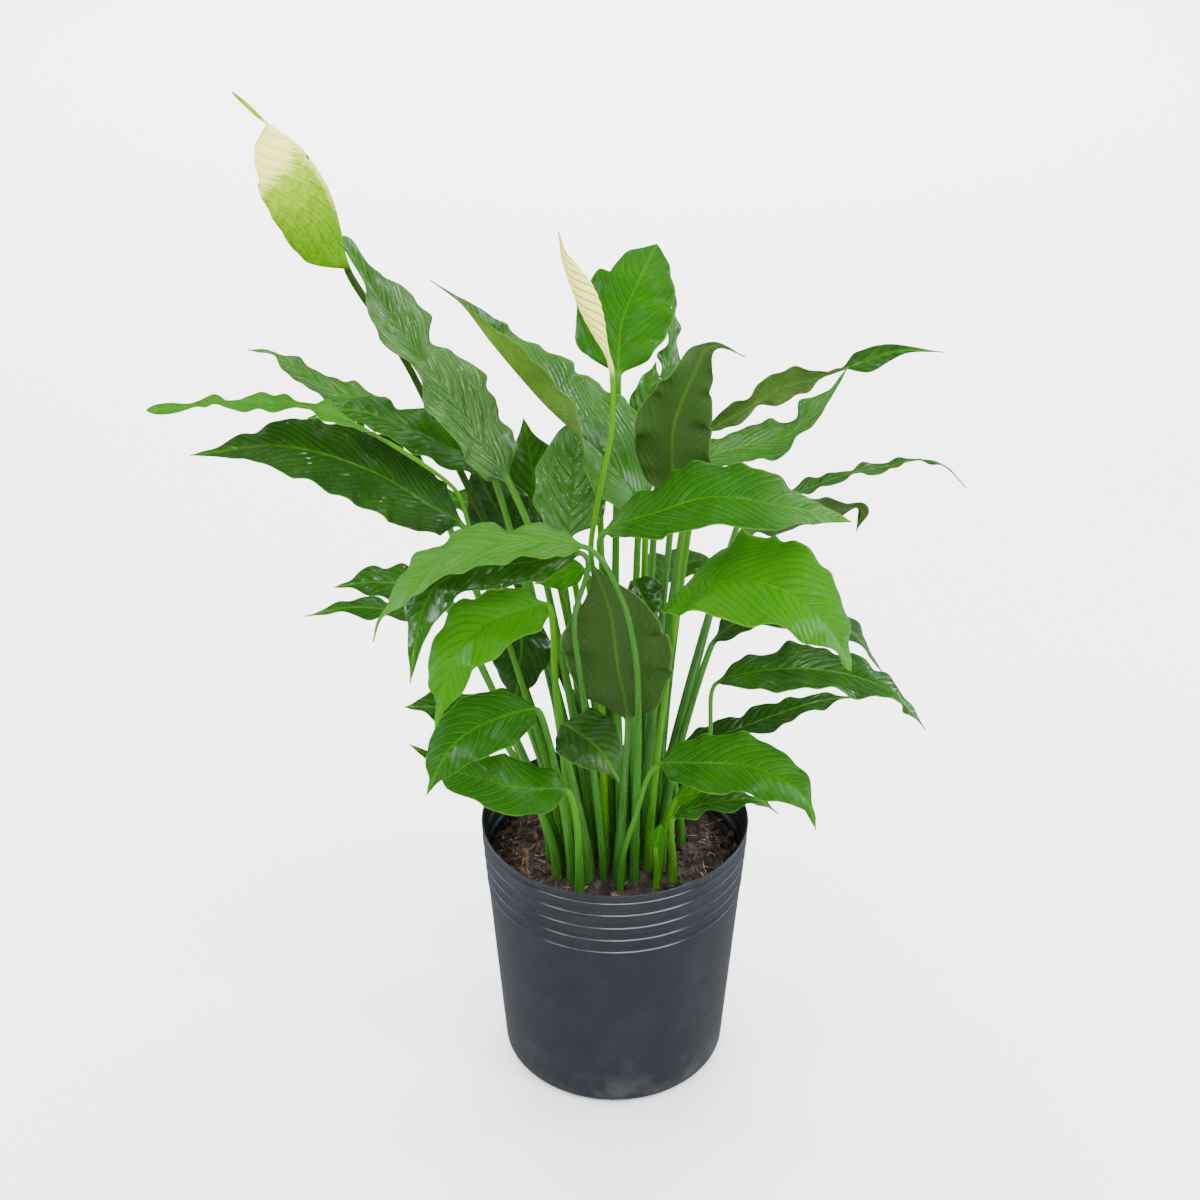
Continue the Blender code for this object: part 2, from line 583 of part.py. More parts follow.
def baked(obj):
    """Swap the object's mesh for the one that its modifiers give."""
    graph = bpy.context.evaluated_depsgraph_get()
    mesh = bpy.data.meshes.new_from_object(obj.evaluated_get(graph))
    obj.modifiers.clear()
    obj.data = mesh
    return obj


def add_screw(obj, sides):
    screw = obj.modifiers.new("Turn", "SCREW")
    screw.angle = 2 * math.pi
    screw.steps = sides
    screw.render_steps = sides
    screw.use_merge_vertices = True
    screw.merge_threshold = 0.00001
    screw.use_normal_calculate = True


def cutter_collection():
    collection = named_collection("cutters")
    collection.hide_render = True
    return collection


def make_cutter(name, places, radius_of, low, high, sides):
    """One cutter object that holds an upright prism at each place."""
    shape = bmesh.new()
    for index, (x, y) in enumerate(places):
        radius = radius_of(index)
        made = bmesh.ops.create_cone(shape, cap_ends=True, segments=sides, radius1=MM * radius,
                                     radius2=MM * radius, depth=MM * (high - low))
        bmesh.ops.translate(shape, verts=made["verts"], vec=(MM * x, MM * y, MM * (low + high) / 2))
    mesh = bpy.data.meshes.new(name)
    shape.to_mesh(mesh)
    shape.free()
    obj = bpy.data.objects.new(name, mesh)
    obj.display_type = "WIRE"
    obj.hide_render = True
    cutter_collection().objects.link(obj)
    return obj


def cut(obj, cutter):
    boolean = obj.modifiers.new("Cut", "BOOLEAN")
    boolean.operation = "DIFFERENCE"
    boolean.solver = "EXACT"
    boolean.use_self = True
    boolean.object = cutter


def make_pot(material):
    profile = pot_profile()
    edges = [(k, k + 1) for k in range(len(profile) - 1)]
    mesh = bpy.data.meshes.new("pot")
    mesh.from_pydata([(MM * r, 0, MM * z) for r, z in profile], edges, [])
    obj = bpy.data.objects.new("pot", mesh)
    bpy.context.scene.collection.objects.link(obj)
    add_screw(obj, POT_SIDES)
    baked(obj)
    squeeze_mouth(obj.data)
    turn = 2 * math.pi / DRAIN_HOLES
    turns = [turn * k for k in range(DRAIN_HOLES)]
    places = [(DRAIN_CIRCLE * math.cos(a), DRAIN_CIRCLE * math.sin(a)) for a in turns]
    cut(obj, make_cutter("drain_cutter", places, lambda index: DRAIN_RADIUS, -5, POT_FLOOR + 5, 12))
    smooth_sides(obj, 30)
    return place(obj, material)


def soil_height(radius, angle, edge):
    """A low mound with small bumps, which two crossing waves make."""
    share = radius / edge
    bumps = math.sin(3 * angle + 5 * share) + math.sin(5 * angle - 7 * share)
    return SOIL_TOP + SOIL_MOUND * (1 - share**2) + 2 * SOIL_BUMP * share * (1 - share) * bumps


def make_soil(stalks, material):
    """The filled plug of soil, just clear of the pot, with a plain hole for each stalk."""
    low = POT_FLOOR + SEAT_GAP
    points = []
    inset = POT_WALL + SEAT_GAP
    rings = [(wall_radius(low) - inset - 5, low), (wall_radius(low + 5) - inset, low + 5)]
    edge = wall_radius(SOIL_TOP - 2) - POT_WALL - SEAT_GAP
    rings.append((edge, SOIL_TOP - 2))
    for radius, z in rings:
        for k in range(SOIL_SIDES):
            angle = 2 * math.pi * k / SOIL_SIDES
            points.append((radius * math.cos(angle), radius * math.sin(angle), z))
    for ring in range(1, SOIL_RINGS):
        radius = edge * (1 - ring / SOIL_RINGS)
        for k in range(SOIL_SIDES):
            angle = 2 * math.pi * k / SOIL_SIDES
            height = soil_height(radius, angle, edge)
            points.append((radius * math.cos(angle), radius * math.sin(angle), height))
    faces = []
    ring_count = len(points) // SOIL_SIDES
    for i in range(ring_count - 1):
        for k in range(SOIL_SIDES):
            a = i * SOIL_SIDES + k
            b = i * SOIL_SIDES + (k + 1) % SOIL_SIDES
            faces += [(a, b, b + SOIL_SIDES), (a, b + SOIL_SIDES, a + SOIL_SIDES)]
    faces.append(tuple(reversed(range(SOIL_SIDES))))
    points.append((0, 0, SOIL_TOP + SOIL_MOUND))
    top = len(points) - 1
    last = (ring_count - 1) * SOIL_SIDES
    faces += [(last + k, last + (k + 1) % SOIL_SIDES, top) for k in range(SOIL_SIDES)]
    obj = new_object("soil", points, faces)
    squeeze_mouth(obj.data)
    places = [stalk["root"] for stalk in stalks]
    fit = math.cos(math.pi / HOLE_SIDES)
    cutter = make_cutter("stalk_cutter", places, lambda index: (stalks[index]["base"] + SEAT_GAP) / fit,
                         SOIL_TOP - ROOT_DEPTH - SEAT_GAP, SOIL_TOP + 30, HOLE_SIDES)
    cut(obj, cutter)
    smooth_sides(obj, 40)
    return place(obj, material)


def build():
    clear_scene()
    bright = {"leaf_top", "leaf_right_front_bright", "leaf_right_broad", "leaf_right_low_bright",
              "leaf_right_low_pale", "leaf_spear", "leaf_left_front_pale", "leaf_middle_tip",
              "leaf_left_drooping", "leaf_left_low_drooping", "leaf_left_lowest", "leaf_left_far_thin"}
    leaves = {name: {**PLAIN_LEAF, **leaf} for name, leaf in LEAVES.items()}
    tall = {**PLAIN_LEAF, **TALL_FLOWER}
    furled = {**PLAIN_LEAF, **FURLED_FLOWER}
    make_pot(make_material("pot_plastic", POT_BLACK, 0.45))
    make_soil([*leaves.values(), tall, furled], make_material("potting_soil", SOIL_BROWN, 0.95))
    for index, (name, leaf) in enumerate(leaves.items()):
        colour = BRIGHT_GREEN if name in bright else DEEP_GREEN
        make_leaf(name, leaf, PHASE_STEP * index, make_material(name + "_green", colour, 0.35))
    make_leaf("tall_flower", tall, 0, make_material("spathe_green", SPATHE_GREEN, 0.5))
    make_spadix("tall_flower_spadix", tall, make_material("spadix_cream", SPADIX_CREAM, 0.7))
    make_furled_flower("furled_flower", furled, make_material("spathe_cream", BUD_CREAM, 0.5))


build()
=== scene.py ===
import json
import math
import bmesh
import bpy
import numpy as np
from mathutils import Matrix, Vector, noise


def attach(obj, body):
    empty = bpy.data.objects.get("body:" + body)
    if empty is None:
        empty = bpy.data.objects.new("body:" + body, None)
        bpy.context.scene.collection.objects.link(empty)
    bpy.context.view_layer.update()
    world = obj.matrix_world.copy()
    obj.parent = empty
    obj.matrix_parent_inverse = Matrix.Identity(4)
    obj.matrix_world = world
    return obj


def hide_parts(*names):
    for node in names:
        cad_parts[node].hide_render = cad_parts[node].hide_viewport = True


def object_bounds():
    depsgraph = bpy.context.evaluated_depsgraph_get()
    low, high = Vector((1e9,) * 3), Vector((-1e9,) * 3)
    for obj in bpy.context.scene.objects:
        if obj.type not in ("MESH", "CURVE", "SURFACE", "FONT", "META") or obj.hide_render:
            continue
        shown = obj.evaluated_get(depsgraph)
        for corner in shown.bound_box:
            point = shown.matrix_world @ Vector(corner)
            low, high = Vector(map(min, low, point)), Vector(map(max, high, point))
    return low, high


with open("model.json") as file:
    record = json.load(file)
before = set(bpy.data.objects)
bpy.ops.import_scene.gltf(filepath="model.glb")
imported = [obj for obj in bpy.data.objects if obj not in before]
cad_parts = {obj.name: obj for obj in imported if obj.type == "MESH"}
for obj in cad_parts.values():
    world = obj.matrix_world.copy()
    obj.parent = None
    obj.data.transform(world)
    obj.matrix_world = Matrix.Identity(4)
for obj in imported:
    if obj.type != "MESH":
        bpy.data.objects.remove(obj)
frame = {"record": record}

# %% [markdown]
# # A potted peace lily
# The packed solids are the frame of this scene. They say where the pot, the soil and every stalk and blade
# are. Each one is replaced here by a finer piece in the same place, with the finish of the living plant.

MM = 0.001
CAD_LOW, CAD_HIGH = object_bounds()
print("The solids reach from", [round(c, 3) for c in CAD_LOW], "to", [round(c, 3) for c in CAD_HIGH])


def put_in_scene(name, data):
    """A new object with this data, standing at the origin."""
    obj = bpy.data.objects.new(name, data)
    bpy.context.scene.collection.objects.link(obj)
    return obj


# %% [markdown]
# ## The camera
# The photograph looks down at the pot by about 30 degrees, from a little over a metre away. The rim and the
# base of the pot are two circles of known size, and their ellipses in the picture give the angle and the
# distance. A lens of 63 mm on a 36 mm sensor gives the same field.

# %% Place the camera
CAMERA_PLACE = (-0.009, -1.049, 0.9397)
CAMERA_TILT = math.radians(59.7)
LENS_MM = 62.77
SENSOR_MM = 36

camera = put_in_scene("camera", bpy.data.cameras.new("camera"))
camera.data.lens = LENS_MM
camera.data.sensor_width = SENSOR_MM
camera.location = CAMERA_PLACE
camera.rotation_euler = (CAMERA_TILT, 0, 0)
bpy.context.scene.camera = camera
print("The camera stands", round(Vector(CAMERA_PLACE).length, 2), "m from the pot's base")

# %% [markdown]
# ## Helpers for nodes
# The light, the finishes and the scattering are all trees of nodes. These helpers add a node and feed its
# sockets by name. What a node puts out can be added and multiplied like a number: each such sum adds a Math
# node, so that a finish can be read as plain arithmetic.


# %% Helpers for node trees
class Value:
    """A number that changes over a surface. Arithmetic with it adds Math nodes to its tree."""

    def __init__(self, tree, socket):
        self.tree = tree
        self.socket = socket

    def __add__(self, other):
        return self.tree.maths("ADD", self, other)

    def __sub__(self, other):
        return self.tree.maths("SUBTRACT", self, other)

    def __rsub__(self, other):
        return self.tree.maths("SUBTRACT", other, self)

    def __mul__(self, other):
        return self.tree.maths("MULTIPLY", self, other)

    def __abs__(self):
        return self.tree.maths("ABSOLUTE", self)

    def fraction(self):
        return self.tree.maths("FRACT", self)

    def at_least(self, other):
        return self.tree.maths("MAXIMUM", self, other)

    def ramp(self, low, high, to_low=0.0, to_high=1.0):
        """A smooth climb from one value to another between two limits, and level past them."""
        node = self.tree.add("ShaderNodeMapRange", clamp=True, interpolation_type="SMOOTHSTEP")
        self.tree.fill(node, Value=self, From_Min=low, From_Max=high, To_Min=to_low, To_Max=to_high)
        return Value(self.tree, node.outputs[0])


class Tree:
    """A node tree with short ways to add nodes and to feed their sockets."""

    def __init__(self, tree):
        self.tree = tree

    def add(self, kind, **settings):
        node = self.tree.nodes.new(kind)
        for name, value in settings.items():
            setattr(node, name, value)
        return node

    def feed(self, socket, value):
        """A socket takes a link from another socket, or a plain value."""
        value = getattr(value, "socket", value)
        if isinstance(value, bpy.types.NodeSocket):
            self.tree.links.new(value, socket)
        else:
            socket.default_value = value

    def fill(self, node, **values):
        """Feed a node's sockets by name, with _ for a space."""
        for name, value in values.items():
            self.feed(node.inputs[name.replace("_", " ")], value)
        return node

    def in_order(self, node, *values):
        """Feed a node's first sockets, where two of them share a name."""
        for socket, value in zip(node.inputs, values):
            self.feed(socket, value)
        return node

    def maths(self, operation, *values):
        node = self.in_order(self.add("ShaderNodeMath", operation=operation), *values)
        return Value(self, node.outputs[0])

    def blend(self, share, a, b, how="MIX"):
        node = self.add("ShaderNodeMix", data_type="RGBA", blend_type=how, clamp_factor=True)
        for index, value in ((0, share), (6, a), (7, b)):
            self.feed(node.inputs[index], value)
        return node.outputs[2]

    def toned(self, share, base, tone):
        """A colour multiplied by a tone, by this share."""
        return self.blend(share, base, self.blend(1.0, base, tone, "MULTIPLY"))

    def noise(self, vector, scale, detail=2.0, roughness=0.5):
        node = self.fill(self.add("ShaderNodeTexNoise"), Vector=vector, Scale=scale, Detail=detail,
                         Roughness=roughness)
        return Value(self, node.outputs["Fac"])

    def split(self, vector):
        node = self.fill(self.add("ShaderNodeSeparateXYZ"), Vector=vector)
        return [Value(self, part) for part in node.outputs]

    def gather(self, x, y, z=0.0):
        return self.fill(self.add("ShaderNodeCombineXYZ"), X=x, Y=y, Z=z).outputs[0]

    def scaled(self, vector, factors):
        node = self.add("ShaderNodeVectorMath", operation="MULTIPLY")
        return self.in_order(node, vector, factors).outputs[0]

    def spot(self):
        """The place of a point on the piece, in metres."""
        return self.add("ShaderNodeTexCoord").outputs["Object"]

    def attribute(self, name):
        return self.add("ShaderNodeAttribute", attribute_name=name).outputs["Vector"]

    def bump(self, height, distance, strength=1.0):
        node = self.fill(self.add("ShaderNodeBump"), Strength=strength, Distance=distance, Height=height)
        return node.outputs["Normal"]

    def place(self, group, **values):
        """Put a node group in this tree and return what it puts out, by name."""
        node = self.fill(self.add("ShaderNodeGroup", node_tree=group), **values)
        return {socket.name: Value(self, socket) for socket in node.outputs}


def colour(r, g, b):
    return (r, g, b, 1.0)


def new_material(name):
    """An empty material: its tree and its Principled shader."""
    material = bpy.data.materials.new(name)
    material.use_nodes = True
    return material, Tree(material.node_tree), material.node_tree.nodes["Principled BSDF"]


def new_group(kind, name, inputs, outputs):
    """A node group with named sockets: the group, its tree, what it is given and its output node."""
    group = bpy.data.node_groups.new(name, kind)
    for in_out, sockets in (("INPUT", inputs), ("OUTPUT", outputs)):
        for socket_name, holds in sockets.items():
            group.interface.new_socket(name=socket_name, in_out=in_out, socket_type="NodeSocket" + holds)
    tree = Tree(group)
    return group, tree, tree.add("NodeGroupInput").outputs, tree.add("NodeGroupOutput")


print("A tree's helpers:", ", ".join(name for name in vars(Tree) if not name.startswith("_")))

# %% [markdown]
# ## The studio
# The plant stands on a white sweep in soft light from all round. A leaf is glossy, so it shows what stands
# round it: a white room would cover every leaf with a grey veil. The world is therefore bright for the soft
# light and for the eye. Mirror-like rays see a dim room, with a paler floor below, and a few large lamps draw
# the highlights. The two strips at the sides shine in a narrow cone, so that they light the pot's flanks and
# throw no patch on the floor.

# %% Light the studio
SOFT_LIGHT = 3.0
BACKDROP = 5.5
DIM_ROOM = 0.08
FLOOR_SHEEN = 0.42
SHEEN_STARTS = -0.15
SHEEN_FULL = -0.5

world = bpy.data.worlds.new("studio")
world.use_nodes = True
bpy.context.scene.world = world
sky = Tree(world.node_tree)
ray = sky.add("ShaderNodeLightPath").outputs
upward = sky.split(sky.add("ShaderNodeTexCoord").outputs["Generated"])[2]
room = sky.in_order(sky.add("ShaderNodeMapRange"), upward, SHEEN_STARTS, SHEEN_FULL, DIM_ROOM, FLOOR_SHEEN)
by_gloss = sky.fill(sky.add("ShaderNodeMix"), Factor=ray["Is Glossy Ray"], A=SOFT_LIGHT, B=room.outputs[0])
by_eye = sky.fill(sky.add("ShaderNodeMix"), Factor=ray["Is Camera Ray"], A=by_gloss.outputs[0], B=BACKDROP)
sky.fill(world.node_tree.nodes["Background"], Color=colour(1, 1, 1), Strength=by_eye.outputs[0])


def soft_box(name, place, aim, width, height, watts, tone=(1, 1, 1)):
    """A rectangular lamp at a place, turned to face its aim."""
    lamp = bpy.data.lights.new(name, "AREA")
    lamp.shape = "RECTANGLE"
    lamp.size = width
    lamp.size_y = height
    lamp.energy = watts
    lamp.color = tone
    obj = put_in_scene(name, lamp)
    obj.location = place
    obj.rotation_euler = (Vector(aim) - Vector(place)).to_track_quat("-Z", "Y").to_euler()
    return obj


PLANT_MIDDLE = (0, 0, 0.35)
POT_MIDDLE = (0, 0, 0.1)
COOL = (0.82, 0.91, 1.0)
STRIP_SPREAD = math.radians(80)
soft_box("window_right", (1.45, -0.95, 1.7), PLANT_MIDDLE, 0.4, 0.4, 30)
soft_box("window_top", (0.15, -0.1, 2.3), PLANT_MIDDLE, 0.22, 0.22, 5)
soft_box("window_left", (-1.5, -0.9, 1.7), PLANT_MIDDLE, 0.3, 0.35, 14)
soft_box("window_front", (0.1, -1.39, 2.04), PLANT_MIDDLE, 0.7, 0.16, 15)
soft_box("window_back", (0.6, 1.9, 1.2), PLANT_MIDDLE, 1.0, 0.3, 2)
for side, x in (("left", -1.6), ("right", 1.6)):
    strip = soft_box("strip_" + side, (x, 0.45, 0.5), POT_MIDDLE, 0.4, 0.8, 6, COOL)
    strip.data.spread = STRIP_SPREAD
far_lamp = soft_box("far_floor_lamp", (0, 2.5, 2.2), (0, 2.5, 0), 3.0, 2.0, 270)
far_lamp.visible_glossy = False

# %% [markdown]
# ## The floor
# A pale sheet of paper under the pot. It lies a hair below the base, so that the two never share a plane.

# %% Lay the floor
FLOOR_REACH = 8.0
FLOOR_DROP = 0.0004
FLOOR_CORNERS = ((-1, -1), (1, -1), (1, 1), (-1, 1))

paper, t, shader = new_material("pale_paper")
t.fill(shader, Base_Color=colour(0.86, 0.86, 0.86), Roughness=0.9, Specular_IOR_Level=0.1)
floor = put_in_scene("floor", bpy.data.meshes.new("floor"))
floor.data.from_pydata([(FLOOR_REACH * x, FLOOR_REACH * y, -FLOOR_DROP) for x, y in FLOOR_CORNERS], [],
                       [(0, 1, 2, 3)])
floor.data.materials.append(paper)
floor.visible_glossy = False
print("The floor is", 2 * FLOOR_REACH, "m across")

# %% [markdown]
# ## Veins
# A peace lily's leaf has one midrib and many side veins, which leave it at a slant and bend towards the tip.
# They are sunk in the upper side, and the blade swells a little between them. Each mesh stores how many veins
# lie between a point and the blade's base, so that its shape and its finish show the same veins. One group
# turns that count into lines, for the leaves and for the flowers.

# %% A node group for the veins
FINE_VEINS = 6.0

veins, t, given, out = new_group(
    "ShaderNodeTree", "leaf veins", {"Row": "Vector", "Line": "Float"},
    dict.fromkeys(("Vein", "Fine", "Swell", "Midrib", "Margin"), "Float"))
row, out_mm, out_share = t.split(given["Row"])
near = abs(row.fraction() - 0.5)
fine_near = abs((row * FINE_VEINS).fraction() - 0.5)
t.fill(out, Vein=near.ramp(0.0, given["Line"], 1.0, 0.0), Fine=fine_near.ramp(0.0, 0.35, 1.0, 0.0),
       Swell=near.ramp(0.0, 0.5), Midrib=out_mm.ramp(0.35, 1.1, 1.0, 0.0), Margin=out_share.ramp(0.95, 0.995))
print("Vein group:", len(veins.nodes), "nodes")

# %% [markdown]
# ## Leaf green
# The upper side is a glossy green, the lower side a duller olive. Some leaves are younger and brighter, so
# each mesh carries its own tint, from 0 for deep to 1 for bright. The green is never even: its side veins
# carry painted shade on the deep leaves and a painted highlight on the bright ones, one slope of each pleat
# has painted shade, and the margin is paler. A painted milky sheen, standing for the reflection of a bright
# sky, lies in streaks between the veins, most of all at the blade's two ends, and where it is strongest
# painted silvery glints stand in it. The stalk is a light green with dark and pale streaks, and it turns
# yellow towards the soil.

# %% The finish of the leaves
DEEP_GREEN = colour(0.0085, 0.0400, 0.0024)
FRESH_GREEN = colour(0.0220, 0.1280, 0.0012)
# Painted shade in the sunk side veins of the deep and olive leaves.
DEEP_VEIN_SHADE = colour(0.0075, 0.0340, 0.0035)
MIDRIB_ABOVE = colour(0.045, 0.190, 0.004)
OLIVE_UNDER = colour(0.0240, 0.0690, 0.0060)
FRESH_UNDER = colour(0.1000, 0.2200, 0.0140)
MIDRIB_BELOW = colour(0.060, 0.150, 0.008)
STALK_GREEN = colour(0.0320, 0.1320, 0.0150)
STALK_PALE = colour(0.0580, 0.2050, 0.0020)
STALK_DARK = colour(0.0060, 0.0250, 0.0025)
# Painted sheen and painted glints: colours that stand for reflections of a bright sky on the glossy leaves.
PAINTED_SHEEN = colour(0.100, 0.210, 0.062)
PAINTED_GLINT = colour(0.36, 0.56, 0.38)
SPECK = colour(0.16, 0.26, 0.07)
PALE_EDGE = colour(0.090, 0.240, 0.025)
PAINTED_PLEAT_SHADE = colour(0.38, 0.44, 0.44)
FINE_TONE = colour(0.70, 0.74, 0.70)
VEIN_TONE = colour(0.55, 0.60, 0.60)
GRAIN_TONE = colour(0.60, 0.68, 0.60)
LINE_SHARE = 0.45


def leaf_finish(name, deep, fresh, painted_vein_light, gloss, shine):
    """A leaf's material. It reads from the mesh where a point lies, how old the leaf is and how much painted
    sheen it carries.
    """
    material, t, shader = new_material(name)
    across, along, milk = t.split(t.attribute("leaf_place"))
    under, stalk, tint = t.split(t.attribute("leaf_kind"))
    row, out_mm, _ = t.split(t.attribute("leaf_row"))
    spot = t.spot()
    lines = t.place(veins, Row=t.attribute("leaf_row"), Line=0.09)
    vein, fine, midrib = lines["Vein"] * LINE_SHARE, lines["Fine"], lines["Midrib"] * LINE_SHARE

    grain = t.noise(spot, 900.0)
    # Patches that vary the roughness and add a little painted sheen.
    sheen_and_gloss_patches = t.noise(spot, 62.0, 5.0, 0.62).ramp(0.50, 0.78)
    specks = t.noise(spot, 1500.0, 0.0).ramp(0.80, 0.84)
    sheen_streaks = t.noise(t.gather(row * 2.6, out_mm * 0.07), 1.0, 5.0, 0.75).ramp(0.30, 0.76)
    # Small flecks along the veins, for painted glints.
    glint_flecks = t.noise(t.gather(row * 5.0, out_mm * 0.28), 1.0, 3.0, 0.6).ramp(0.60, 0.68)
    young = (t.noise(spot, 30.0, 4.0, 0.6) * 0.9 - 0.45 + tint).ramp(0.0, 1.0)
    pleat = row.fraction()
    # Painted shade on the slope of each pleat past its vein.
    shaded = t.maths("GREATER_THAN", pleat, 0.5) * pleat.ramp(0.5, 0.95, 0.5, 0.0)
    upper = t.toned(shaded, t.blend(young, deep, fresh), PAINTED_PLEAT_SHADE)
    upper = t.toned(fine * 0.45, upper, FINE_TONE)
    # Painted milky sheen in streaks between the veins, by the leaf's painted sheen share.
    upper = t.blend(milk * sheen_streaks + sheen_and_gloss_patches * 0.05, upper, PAINTED_SHEEN)
    # Painted silvery glints where the painted sheen is strongest.
    upper = t.blend(glint_flecks * milk.ramp(0.55, 1.1, 0.0, 0.75), upper, PAINTED_GLINT)
    # The side veins take the finish's painted vein shade or vein highlight, then comes a paler midrib.
    upper = t.blend(midrib, t.blend(vein, upper, painted_vein_light), MIDRIB_ABOVE)
    lower = t.toned(vein, t.blend(young, OLIVE_UNDER, FRESH_UNDER), VEIN_TONE)
    lower = t.blend(midrib, t.toned(fine * 0.25, lower, FINE_TONE), MIDRIB_BELOW)
    blade = t.toned(grain * 0.35, t.blend(under, upper, lower), GRAIN_TONE)
    blade = t.blend(specks * 0.4, blade, SPECK)
    blade = t.blend(lines["Margin"] * 0.5, blade, PALE_EDGE)

    round_stalk = t.gather(across * 4.0, along * 0.010, under)
    streaks = t.noise(round_stalk, 2.6, 4.0, 0.6)
    dark_streaks = t.noise(round_stalk, 4.1, 3.0, 0.6).ramp(0.50, 0.66)
    low_down = t.split(spot)[2].ramp(0.15, 0.24, 1.0, 0.0)
    near_blade = along.ramp(-110.0, -10.0, 0.0, 0.38)
    pale = near_blade + low_down * 0.10 + tint * 0.85 + streaks * 1.5 - 0.87
    stem = t.blend(pale.ramp(0.0, 1.0), STALK_GREEN, STALK_PALE)
    stem = t.blend(dark_streaks * 0.6, stem, STALK_DARK)

    relief = (lines["Swell"] * 0.60 - fine * 0.26) * (1.0 - stalk) + stalk * streaks * 0.8 + grain * 0.05
    t.fill(shader, Base_Color=t.blend(stalk, blade, stem),
           Roughness=under * 0.16 + stalk * 0.10 + grain * 0.04 + sheen_and_gloss_patches * 0.06 + gloss,
           Normal=t.bump(relief, 0.0006, 0.9), IOR=1.45, Specular_IOR_Level=shine)
    return material


BRIGHT_DEEP = colour(0.0095, 0.0620, 0.0022)
BRIGHT_FRESH = colour(0.0270, 0.1500, 0.0010)
# Painted highlight on the raised side veins of the bright leaves.
BRIGHT_VEIN_HIGHLIGHT = colour(0.0420, 0.1900, 0.0040)
OLIVE_DEEP = colour(0.0110, 0.0420, 0.0030)
LEAF_FINISH = {
    "leaf_deep": leaf_finish("deep_leaf", DEEP_GREEN, FRESH_GREEN, DEEP_VEIN_SHADE, 0.075, 0.5),
    "leaf_bright": leaf_finish("bright_leaf", BRIGHT_DEEP, BRIGHT_FRESH, BRIGHT_VEIN_HIGHLIGHT, 0.13, 0.12),
    "leaf_olive": leaf_finish("olive_leaf", OLIVE_DEEP, FRESH_GREEN, DEEP_VEIN_SHADE, 0.26, 0.3),
}
print("Leaf finishes:", ", ".join(LEAF_FINISH))

# %% [markdown]
# ## The leaves' middle lines
# Each leaf is a stalk and a blade along one middle line. The list repeats the solids' own: where the root
# stands, points that the stalk passes, the knee where the blade starts, points to the tip, the blade's width
# and the way its upper side faces, in millimetres. Some values are for looks alone: the tint of the blade and
# of its stem, which for two stalks in the shade of the leaves is a painted shade, how much painted sheen it
# has in all and at its ends, how far its left half is rolled over, the depth of the margin's crimp and of the
# puckers, and the slant and spacing of the side veins. Where a leaf shows its duller side, it names a finish
# other than its slot's own.

# %% The list of leaves
SOIL_TOP = 150.0
ROOT_DEPTH = 12.0
COLLAR_TOP = 157.0

PLAIN_LEAF = dict(
    stalk=[], width=50, facing=(0, -0.5, 0.85), fold=14, fold_left=None, curl=22, ripple=0.05, waves=3.5,
    twist=(0, 0.5), pinch=(0.5, 0), drip=0.35, tail=0, base=3.8, top=1.8, peak=(0.7, 1.15), tint=0.35,
    crimp=2.4, pucker=1.9, slant=0.9, veins=7.5, milk=0.04, milk_ends=0.12, roll=0,
    stem=None,
)

